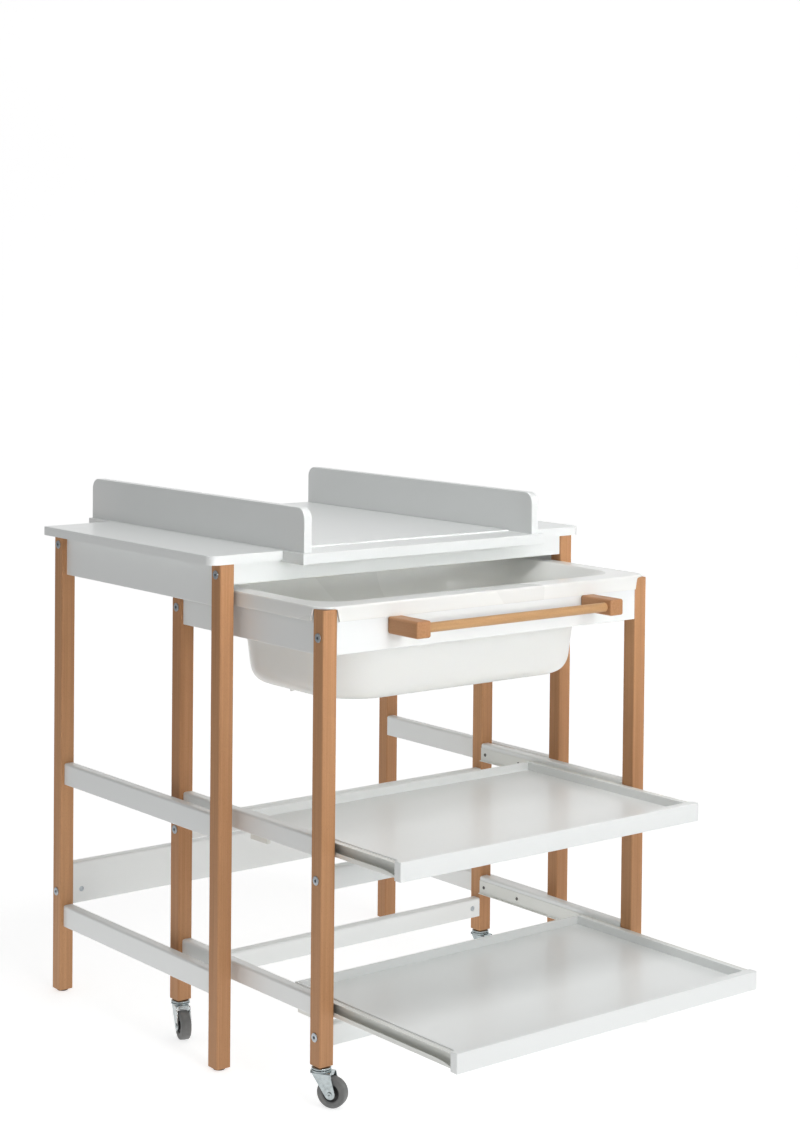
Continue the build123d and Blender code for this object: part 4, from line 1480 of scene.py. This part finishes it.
@dataclass
class Handle:
    """Round beech bar between two beech blocks with rounded edges, in millimetres."""

    finishes: Finishes
    block_width: float = 30.0
    long_edge: float = 4.0
    end_edge: float = 3.0
    bar_edge: float = 1.0
    socket_play: float = 0.1

    def blocks(self) -> None:
        """Shape both blocks along Y and bore their sockets for the bar."""
        low, high = box_of("handle_blocks")
        half_height = (high[2] - low[2]) / 2
        shell = Shell()
        for start in (low[0], high[0] - self.block_width):
            middle = start + self.block_width / 2
            foot = np.array([-self.block_width / 2, -half_height, 0.0])
            top = np.array([self.block_width / 2, half_height, high[1] - low[1]])
            block = soft_block(foot, top, self.long_edge, self.end_edge)
            seat = (middle, high[1], low[2] + half_height)
            shell.add_rings(placed(block, facing(seat, (0, -1, 0))))
        piece = shell.build("handle_end_blocks")
        rod_low, rod_high = box_of("handle_bar")
        _, rod_y, rod_z = middle_of("handle_bar")
        radius = (rod_high[2] - rod_low[2]) / 2 + self.socket_play
        span = rod_high[0] - rod_low[0] + 2 * self.socket_play
        start = (rod_low[0] - self.socket_play, rod_y, rod_z)
        walls = lathe(np.array([(radius, 0.0), (radius, span)]), 64)
        socket = Shell()
        socket.add_rings(placed(walls, facing(start, (1, 0, 0))))
        carve(piece, [socket.build("socket")])
        install(piece, "trolley", ["handle_blocks"], self.finishes.beech[Grain.Y])

    def build(self) -> None:
        """Make the blocks and turn the bar, with softened ends inside the blocks."""
        self.blocks()
        low, high = box_of("handle_bar")
        radius, length = (high[2] - low[2]) / 2, high[0] - low[0]
        corners = [(0, 0), (radius, 0), (radius, length), (0, length)]
        bar = spindle(corners, [0, self.bar_edge, self.bar_edge, 0], count=64)
        _, y, z = middle_of("handle_bar")
        shell = Shell()
        shell.add_rings(placed(bar, facing((low[0], y, z), (1, 0, 0))))
        rod = shell.build("handle_rod")
        install(rod, "trolley", ["handle_bar"], self.finishes.dowel)


@dataclass
class Runners:
    """Sheet-steel runners of one tray, in millimetres.

    The channels are on the tray, and the webs with their ledge on the trolley's side rails.
    """

    finishes: Finishes
    level: str
    metal: float = 1.2
    bend: float = 2.4
    lip_height: float = 8.0
    dip_length: float = 38.0
    dip_depth: float = 4.0
    channel_height: float = 24.0
    shoe_length: float = 50.0
    shoe_setback: float = 18.0
    shoe_thickness: float = 8.0
    shoe_lap: float = 0.4
    shoe_corner: float = 2.5
    shoe_edge: float = 0.8
    gap: float = 0.3
    roller_setback: float = 12.0
    roller_flange: float = 1.0
    pin_radius: float = 3.0
    screw_front_setback: float = 45.0
    screw_rear_setback: float = 12.5
    screw_pitch: float = 96.0

    def channel(self, shell: Shell, side: int) -> None:
        """C profile with a low lip, swept along Y; the lip's edge dips at the front.

        The dip lowers the lip's edge by depth * (1 - d / length)^2, where d is the distance from
        the front end.

        Args:
            shell: the solids that the new one is added to.
            side: -1 for the left, 1 for the right.
        """
        low, high = box_of(f"tray_runners_{self.level}")
        z0, z1 = self.channel_span()
        web_x = box_of(f"tray_body_{self.level}")[1][0]
        tip = high[0]
        corners = [(tip, z0 + self.lip_height), (tip, z0), (web_x, z0), (web_x, z1), (tip, z1)]
        profile = rounded_profile(corners, [0, self.bend, self.bend, self.bend, 0])
        outer, inner = thickened(profile, -self.metal)
        distance = np.concatenate([np.linspace(0, self.dip_length, 12), [high[1] - low[1]]])
        dip = self.dip_depth * np.clip(1 - distance / self.dip_length, 0, 1) ** 2
        grids = [swept(face, low[1] + distance, side) for face in (outer, inner)]
        for grid in grids:
            grid[:, 0, 2] -= dip
        shell.add_sheet(*grids)
        shoe_end = box_of(f"tray_body_{self.level}")[1][1] - self.shoe_setback
        edges = sorted((side * web_x, side * (web_x + self.shoe_thickness)))
        shoe_low = np.array([edges[0], shoe_end - self.shoe_length, low[2]])
        shoe_high = np.array([edges[1], shoe_end, z0 + self.shoe_lap])
        shell.add_rings(soft_block(shoe_low, shoe_high, self.shoe_corner, self.shoe_edge))

    def channel_span(self) -> tuple[float, float]:
        """Lower and upper height of the channel's flanges."""
        top = box_of(f"tray_runners_{self.level}")[1][2]
        return top - self.channel_height, top

    def web(self, shell: Shell, side: int) -> None:
        """Web on the side rail's inner face, folded at its foot into the channel's ledge.

        Args:
            shell: the solids that the new one is added to.
            side: -1 for the left, 1 for the right.
        """
        low, high = box_of("trolley_runners")
        z0, z1 = self.channel_span()
        foot = z0 - self.gap - self.metal
        tip = box_of(f"tray_body_{self.level}")[1][0] + self.shoe_thickness + self.gap
        corners = [(high[0], z1), (high[0], foot), (tip, foot)]
        outer, inner = thickened(rounded_profile(corners, [0, self.bend, 0]), -self.metal)
        span = np.array([low[1], high[1]])
        shell.add_sheet(*(swept(face, span, side) for face in (outer, inner)))

    def roller(self, shell: Shell, side: int) -> None:
        """Flanged roller between the channel's flanges, on a pin that passes over its lip.

        Args:
            shell: the solids that the new one is added to.
            side: -1 for the left, 1 for the right.
        """
        low, high = box_of("trolley_runners")
        z0, z1 = self.channel_span()
        radius = self.channel_height / 2 - self.metal - self.gap
        start = box_of(f"tray_body_{self.level}")[1][0] + self.metal + self.gap
        face = high[0] - self.metal
        width = face - self.metal - 2 * self.gap - start
        hub, pin, flange = radius / 2, self.pin_radius, self.roller_flange
        corners = [(0, 0), (hub, 0), (hub, flange), (radius, flange), (radius, width)]
        corners += [(pin, width), (pin, face - start), (0, face - start)]
        turned = spindle(corners, [0, 0.3, 0.3, 0.8, 0.6, 0.2, 0, 0])
        seat = (side * start, low[1] + self.roller_setback, (z0 + z1) / 2)
        shell.add_rings(placed(turned, facing(seat, (side, 0, 0))))

    def screw_places(self) -> list[Span]:
        """Y and Z of the screws that hold one web.

        Returns:
            Y and Z of each screw, from the front to the rear.
        """
        low, high = box_of("trolley_runners")
        z0, z1 = self.channel_span()
        rear = high[1] - self.screw_rear_setback
        row = (low[1] + self.screw_front_setback, rear - self.screw_pitch, rear)
        return [(y, (z0 + z1) / 2) for y in row]

    def build(self) -> None:
        """Build both channels of the tray."""
        shell = Shell()
        for side in (-1, 1):
            self.channel(shell, side)
        piece = shell.build(f"{self.level}_tray_channels")
        body, node = f"{self.level}_tray", f"tray_runners_{self.level}"
        install(piece, body, [node], self.finishes.enamel)


@dataclass(frozen=True)
class PanHeadScrew:
    """One kind of pan-head screw with a cross recess, in millimetres.

    The recess is as long and as wide as its shares of the head's radius.
    """

    head_radius: float
    head_height: float
    shank_radius: float
    length: float
    crown_share: float = 0.8
    crown_edge: float = 0.4
    recess_reach: float = 0.7
    recess_half_width: float = 0.22
    recess_foot: float = 0.4
    recess_overrun: float = 1.0

    def recess(self) -> list[bpy.types.Object]:
        """Two crossed bars, the tools for the recess.

        Returns:
            Two closed solids.
        """
        reach = self.head_radius * self.recess_reach
        half = self.head_radius * self.recess_half_width
        foot, top = self.head_height * self.recess_foot, self.head_height + self.recess_overrun
        tools = []
        for half_x, half_y in ((reach, half), (half, reach)):
            low, high = np.array([-half_x, -half_y, foot]), np.array([half_x, half_y, top])
            bar = Shell()
            bar.add_rings(soft_block(low, high, half * 0.5, half * 0.4))
            tools.append(bar.build("recess"))
        return tools

    def build(self) -> bpy.types.Object:
        """Make one along +Z, its head's underside at 0, its point as long as it is thick.

        Returns:
            The finished object, not yet dressed.
        """
        radius, height, shank = self.head_radius, self.head_height, self.shank_radius
        corners = [
            (0, -self.length),
            (shank, -self.length + 2 * shank),
            (shank, 0),
            (radius, 0),
            (radius * self.crown_share, height),
            (0, height),
        ]
        radii = [0, 0.4, 0, 0.2, radius * self.crown_edge, 0]
        shell = Shell()
        shell.add_rings(spindle(corners, radii, count=32))
        piece = shell.build("screw")
        carve(piece, self.recess())
        return piece


@dataclass
class SmallScrews:
    """Screws in the runners' webs and behind the handle's blocks.

    They are turned differently: web screws by so many degrees for each millimetre along the
    runner and for the side, handle screws for the side and for the end.
    """

    finishes: Finishes
    web_metal: float = 1.2
    web_screw: PanHeadScrew = PanHeadScrew(3.2, 1.6, 1.7, 12.0)
    web_turn: Span = (7.0, 31.0)
    handle_screw: PanHeadScrew = PanHeadScrew(4.5, 3.0, 2.2, 49.0)
    handle_turn: Span = (53.0, 20.0)
    handle_spread: float = 14.0

    def web_row(self, shell: Shell, runners: Sequence[Runners]) -> None:
        """Screws that hold the runners' webs to the side rails.

        Args:
            shell: the solids that the new one is added to.
            runners: the runners whose webs are screwed to the side rails.
        """
        screw = self.web_screw.build()
        face = box_of("trolley_runners")[1][0] - self.web_metal
        along, across = self.web_turn
        for runner in runners:
            for y, z in runner.screw_places():
                for side in (-1, 1):
                    turned = Matrix.Rotation(math.radians(along * y + across * side), 4, "Z")
                    shell.add_mesh(screw.data, facing((side * face, y, z), (-side, 0, 0)) @ turned)
        bpy.data.objects.remove(screw)

    def handle_row(self, shell: Shell) -> None:
        """Screws that hold the handle's blocks from behind the front panel.

        Args:
            shell: the solids that the new one is added to.
        """
        screw = self.handle_screw.build()
        back = box_of("trolley_front_panel")[1][1]
        low, high = box_of("handle_blocks")
        inset = Handle.block_width / 2
        across, upwards = self.handle_turn
        for side, x in ((-1, low[0] + inset), (1, high[0] - inset)):
            for end in (-1, 1):
                z = (low[2] + high[2]) / 2 + end * self.handle_spread / 2
                turned = Matrix.Rotation(math.radians(across * side + upwards * end), 4, "Z")
                shell.add_mesh(screw.data, facing((x, back, z), (0, 1, 0)) @ turned)
        bpy.data.objects.remove(screw)

    def build(self, runners: Sequence[Runners]) -> None:
        """Make every screw as one piece.

        Args:
            runners: the runners whose webs are screwed to the side rails.
        """
        shell = Shell()
        self.web_row(shell, runners)
        self.handle_row(shell)
        piece = shell.build("small_screws")
        install(piece, "trolley", ["trolley_screws"], self.finishes.dark_zinc)


@dataclass(frozen=True)
class Lamp:
    """One soft rectangular light, aimed at a point.

    Args:
        name: Name of the light.
        place: Where its middle is, in metres.
        aim: The point that it faces.
        size: Its width and height.
        power: Radiant power in watts.
        spread: Full angle of its cone in degrees.
    """

    name: str
    place: Place
    aim: Place
    size: Span
    power: float
    spread: float = 180.0

    def build(self) -> None:
        """Make the light and link it to the scene."""
        lamp = bpy.data.lights.new(self.name, "AREA")
        lamp.shape = "RECTANGLE"
        lamp.size, lamp.size_y = self.size
        lamp.energy = self.power
        lamp.spread = math.radians(self.spread)
        piece = bpy.data.objects.new(self.name, lamp)
        bpy.context.scene.collection.objects.link(piece)
        direction = Vector(self.aim) - Vector(self.place)
        piece.rotation_euler = direction.to_track_quat("-Z", "Y").to_euler()
        piece.location = self.place


LAMPS = (
    Lamp("key", (0.15, -4.5, 2.1), (0.1, -0.3, 0.7), (1.8, 1.8), 44.0),
    Lamp("upper_key", (0.1, -5.0, 1.15), (0.1, 0.0, 0.95), (2.4, 0.5), 2.6, 20.0),
    Lamp("top", (-0.1, -1.6, 4.2), (0.0, -0.7, 0.4), (1.2, 1.6), 48.0),
)


@dataclass
class Stage:
    """Floor, backdrop, lights and camera."""

    floor_half_width: float = 9.0
    floor_front: float = -9.0
    wall_distance: float = 6.0
    wall_height: float = 9.0
    sweep_radius: float = 2.5
    sweep_points: int = 24
    lens: float = 69.29
    shift_y: float = -0.19706
    clip_end: float = 100.0
    eye: Place = (-2.4377, -3.0576, 1.3149)
    yaw: float = 38.774
    pitch: float = -1.439
    roll: float = 0.547
    floor_pale: Colour = (0.6, 0.6, 0.6)
    floor_shade: Colour = (0.59, 0.59, 0.592)
    cloud_scale: float = 0.6
    floor_glow: float = 0.68
    far_glow: float = 0.14
    pool_half_width: float = 0.95
    pool_widening: float = 0.22
    pool_front: float = -0.85
    pool_fade: float = 0.9
    surroundings: float = 0.36

    def backdrop(self) -> None:
        """Floor that sweeps up into a wall: a quarter circle joins the two straight parts."""
        turn = np.linspace(0, np.pi / 2, self.sweep_points)
        bend_y = self.wall_distance - self.sweep_radius + self.sweep_radius * np.sin(turn)
        bend_z = self.sweep_radius * (1 - np.cos(turn))
        y = np.concatenate([[self.floor_front], bend_y, [self.wall_distance]])
        z = np.concatenate([[0.0], bend_z, [self.wall_height]])
        x = np.array([-self.floor_half_width, self.floor_half_width])
        grid = np.stack(np.broadcast_arrays(x[None], y[:, None], z[:, None]), axis=-1)
        heading = Matrix.Rotation(math.radians(-self.yaw), 4, "Z")
        index = np.arange(grid.shape[0] * 2).reshape(-1, 2)
        quads = np.stack([index[:-1, 0], index[:-1, 1], index[1:, 1], index[1:, 0]], axis=-1)
        mesh = bpy.data.meshes.new("backdrop")
        mesh.from_pydata(grid.reshape(-1, 3).tolist(), [], quads.tolist())
        mesh.shade_smooth()
        piece = bpy.data.objects.new("backdrop", mesh)
        piece.matrix_world = heading
        bpy.context.scene.collection.objects.link(piece)
        dress(piece, self.floor_material())

    def floor_material(self) -> bpy.types.Material:
        """Pale floor that glows in a pool round the object, and faintly outside it.

        The pool is 1 where abs(x) - widening * y is below its half width and y is past its
        front, and falls to 0 over the fade.

        Returns:
            The new material.
        """
        m = NodeMaterial("pale_floor")
        cloud = m.noise(m.coordinates, self.cloud_scale, 2.0)
        m.feed(m.mix(m.ramp(cloud, 0.3, 0.7), self.floor_pale, self.floor_shade), "Base Color")
        m.set(Roughness=0.9, Specular_IOR_Level=0.1)
        m.shader.inputs["Emission Color"].default_value = (1.0, 1.0, 1.0, 1.0)
        split = m.tree.nodes.new("ShaderNodeSeparateXYZ")
        m.link(m.coordinates, split.inputs["Vector"])
        x, y = split.outputs["X"], split.outputs["Y"]
        aside = m.math("ABSOLUTE", x, 0.0)
        spread = m.math("SUBTRACT", aside, m.math("MULTIPLY", y, self.pool_widening))
        edge = self.pool_half_width
        across = m.ramp(spread, edge, edge + self.pool_fade, 1.0, 0.0)
        ahead = m.ramp(y, self.pool_front - self.pool_fade, self.pool_front)
        pool = m.math("MULTIPLY", across, ahead)
        m.feed(m.ramp(pool, 0.0, 1.0, self.far_glow, self.floor_glow), "Emission Strength")
        return m.material

    def world(self) -> None:
        """Even pale surroundings."""
        world = bpy.data.worlds.new("studio")
        world.use_nodes = True
        background = world.node_tree.nodes["Background"]
        background.inputs["Color"].default_value = (1.0, 1.0, 1.0, 1.0)
        background.inputs["Strength"].default_value = self.surroundings
        bpy.context.scene.world = world

    def camera(self) -> None:
        """Camera at the photograph's place: yaw turns from +Y towards +X, then pitch and roll."""
        yaw, pitch, roll = (math.radians(a) for a in (self.yaw, self.pitch, self.roll))
        reach = math.cos(pitch)
        ahead = Vector((math.sin(yaw) * reach, math.cos(yaw) * reach, math.sin(pitch)))
        level = Vector((math.cos(yaw), -math.sin(yaw), 0.0))
        upright = level.cross(ahead)
        right = level * math.cos(roll) + upright * math.sin(roll)
        up = -level * math.sin(roll) + upright * math.cos(roll)
        lens = bpy.data.cameras.new("camera")
        lens.lens = self.lens
        lens.shift_y = self.shift_y
        lens.clip_end = self.clip_end
        piece = bpy.data.objects.new("camera", lens)
        turned = Matrix((right, up, -ahead)).transposed().to_4x4()
        piece.matrix_world = Matrix.Translation(self.eye) @ turned
        bpy.context.scene.collection.objects.link(piece)
        bpy.context.scene.camera = piece

    def build(self) -> None:
        """Set everything up."""
        self.camera()
        self.backdrop()
        self.world()
        for lamp in LAMPS:
            lamp.build()
        bpy.context.scene.view_settings.view_transform = "Standard"


def main() -> None:
    """Build the stage and every sub-assembly in order."""
    logging.basicConfig(level=logging.INFO, format="%(message)s")
    Stage().build()
    finishes = Finishes()
    CarriedNodes(finishes).build()
    Bathtub(finishes).build()
    DrainPlug(finishes).build()
    for corner in ("front_left", "front_right", "rear_left", "rear_right"):
        Caster(finishes, corner).build()
    Hardware(finishes).build()
    Glides(finishes).build()
    Handle(finishes).build()
    runners = [Runners(finishes, level) for level in ("upper", "lower")]
    fixed = Shell()
    for runner in runners:
        runner.build()
        for side in (-1, 1):
            runner.web(fixed, side)
            runner.roller(fixed, side)
    webs = fixed.build("runner_webs")
    install(webs, "trolley", ["trolley_runners"], finishes.enamel)
    SmallScrews(finishes).build(runners)


if __name__ == "__main__":
    main()
